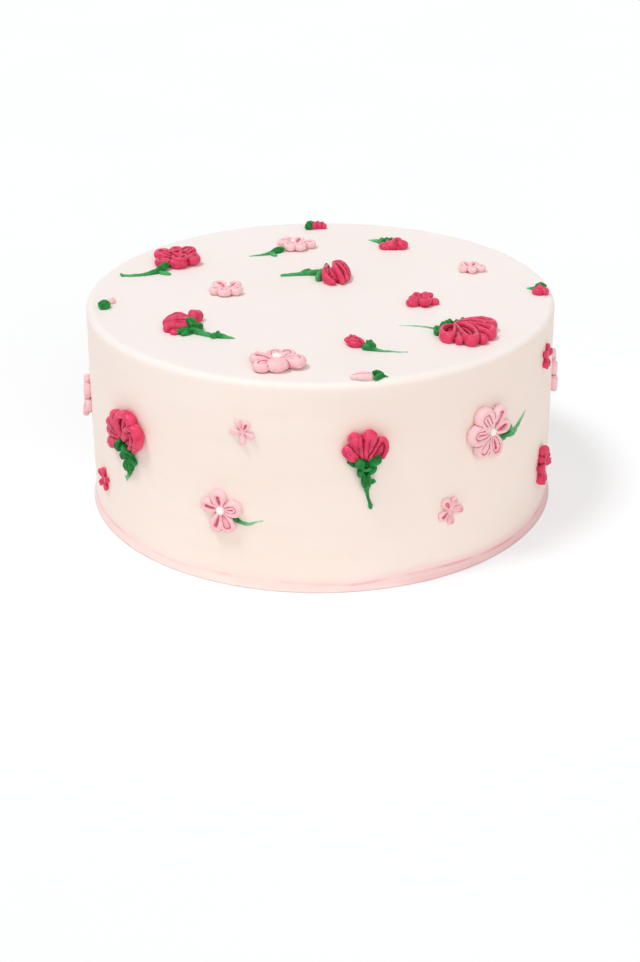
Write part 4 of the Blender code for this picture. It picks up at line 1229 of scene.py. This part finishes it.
def all_flowers():
    # Red and pink icing: main and lighter colours (the lighter one also the painted highlight on crests),
    # painted shade for hollows, painted shade for creases, palest pink, how much toned beads take their shade,
    # roughness, specular and subsurface.
    red = icing_material("red_icing", (0.60, 0.020, 0.078), (0.80, 0.062, 0.150), (0.33, 0.003, 0.022),
                         (0.21, 0.001, 0.012), (0.80, 0.10, 0.20), 0.45, 0.3, 0.2, 0.12)
    pink = icing_material("pink_icing", (0.88, 0.41, 0.455), (0.93, 0.55, 0.58), (0.84, 0.27, 0.33),
                          (0.70, 0.12, 0.19), (0.95, 0.69, 0.69), 0.42, 0.4, 0.2, 0.2)
    cream, green = cream_material(), green_material()
    heads, tips = {}, {}
    for node, (width, top, table) in OPEN_FLOWERS.items():
        p = Piping()
        tips[node] = [entry[:2] for entry in table]
        if node in CUSTOM:
            CUSTOM[node](p)
        else:
            petals(p, width, top, table)
            longest = max(entry[1] for entry in table)
            # The flower's middle, toned for painted shade.
            p.blob(0, 0, top * 0.62, longest * 0.75, longest * 0.75, tone=0.8)
        heads[node] = p
    heads.update(buds())
    places = {}
    for number, (node, p) in enumerate(heads.items()):
        red_one = "_red_" in node
        small = "bud" in node or OPEN_FLOWERS.get(node, (9,))[0] < 6
        places[node] = icing_piece(
            node, p, SMALL_VOXEL if small else PETAL_VOXEL, red if red_one else pink,
            seed=10 * number, tips=tips.get(node, ()),
            pale=0.0 if red_one else PALE.get(node, 0.25),
        )
    for number, (node, p) in enumerate(greens().items()):
        end = node.removeprefix("green")
        head = next(name for name in places if name.endswith(end))
        place = places[head]
        if end in ("_top_11", "_top_15"):
            place = None
        icing_piece(node, p, GREEN_VOXEL, green, place=place, seed=700 + 10 * number)
    # The cream middles, as one piece.
    points, faces, hollow, count = [], [], [], 0
    for number, (node, u, v, top, size) in enumerate(CENTRES):
        p = Piping()
        p.blob(u, v, top, size, size, low=top - 2.6)
        for k in range(4):
            a = 1.57 * k + number
            p.blob(u + 0.28 * size * math.cos(a), v + 0.28 * size * math.sin(a), top * 0.99, 0.5 * size,
                   0.42 * size,
                   math.degrees(a), low=top - 2.4)
        data, flat, crease, pit, tone = fused(p, SMALL_VOXEL, 1)
        polygons = [tuple(count + i for i in face.vertices) for face in data.polygons]
        points.append(laid(flat, *places[node]))
        faces += polygons
        hollow.append(pit)
        count += len(flat)
        bpy.data.meshes.remove(data)
    data = bpy.data.meshes.new("centres")
    points = np.vstack(points)
    data.from_pydata(points.tolist(), [], faces)
    finish_piece("icing_centres", data, points, {"hollow": np.concatenate(hollow)}, cream, None)


# ---------------------------------------------------------------- floor, lights, camera


def stage():
    data = bpy.data.meshes.new("floor")
    side = 6.0
    data.from_pydata([(-side, -side, 0), (side, -side, 0), (side, side, 0), (-side, side, 0)], [],
                     [(0, 1, 2, 3)])
    floor = link(bpy.data.objects.new("floor", data))
    material, tree, shader = new_material("floor")
    n = Nodes(tree)
    colour = n.mix(n.ramp(n.noise(6, 3), 0.3, 0.7), (0.95, 0.95, 0.95), (0.96, 0.96, 0.96))
    n.join(colour, shader.inputs["Base Color"])
    shader.inputs["Roughness"].default_value = 0.9
    shader.inputs["Specular IOR Level"].default_value = 0.0
    # Seen by the camera, the floor is half plain white, and half lit, so that it keeps the cake's shadow.
    glow = n.add("ShaderNodeEmission")
    seen = n.maths("MULTIPLY", n.add("ShaderNodeLightPath").outputs["Is Camera Ray"], 0.5)
    both = n.add("ShaderNodeMixShader")
    n.join(seen, both.inputs[0])
    n.join(shader.outputs[0], both.inputs[1])
    n.join(glow.outputs[0], both.inputs[2])
    n.join(both.outputs[0], tree.nodes["Material Output"].inputs["Surface"])
    data.materials.append(material)

    world = bpy.data.worlds.new("studio")
    bpy.context.scene.world = world
    world.use_nodes = True
    tree = world.node_tree
    n = Nodes(tree)
    background = tree.nodes["Background"]
    background.inputs["Color"].default_value = (1, 1, 1, 1)
    path = n.add("ShaderNodeLightPath")
    seen = n.maths("MAXIMUM", path.outputs["Is Camera Ray"],
                   n.maths("MAXIMUM", path.outputs["Is Glossy Ray"], path.outputs["Is Transmission Ray"]))
    n.join(n.ramp(seen, 0, 1, WORLD_LIGHT, 1.0, False), background.inputs["Strength"])

    def sun(name, place, strength, softness, colour):
        light = bpy.data.lights.new(name, "SUN")
        light.energy = strength
        light.angle = math.radians(softness)
        light.color = colour
        item = link(bpy.data.objects.new(name, light))
        item.rotation_euler = (-Vector(place)).to_track_quat("-Z", "Y").to_euler()

    sun("key", (-0.65, -0.25, 1.6), KEY_LIGHT, 14, (0.96, 1.0, 1.04))
    sun("front", (0.35, -1.0, 0.75), FRONT_LIGHT, 45, (1.0, 0.98, 0.96))


WORLD_LIGHT = 0.46
KEY_LIGHT = 1.45
FRONT_LIGHT = 0.85

# The camera: above and in front, looking a little more than 26 degrees down.
PITCH = math.radians(26.69)
DISTANCE = 0.845
ROLL = 0.0078
AIM = Vector((-0.0008, 0.0, -0.0017))
LENS = 59.83


def camera():
    data = bpy.data.cameras.new("camera")
    data.lens = LENS
    data.sensor_width = 36.0
    data.clip_start = 0.01
    item = link(bpy.data.objects.new("camera", data))
    back = Vector((0, -math.cos(PITCH), math.sin(PITCH)))
    right, up = Vector((1, 0, 0)), Vector((0, math.sin(PITCH), math.cos(PITCH)))
    x = right * math.cos(ROLL) - up * math.sin(ROLL)
    y = right * math.sin(ROLL) + up * math.cos(ROLL)
    place = AIM + back * DISTANCE
    item.matrix_world = Matrix(
        ((x.x, y.x, back.x, place.x), (x.y, y.y, back.y, place.y), (x.z, y.z, back.z, place.z), (0, 0, 0, 1))
    )
    bpy.context.scene.camera = item


cake()
all_flowers()
stage()
camera()
bpy.context.scene.view_settings.view_transform = "Standard"
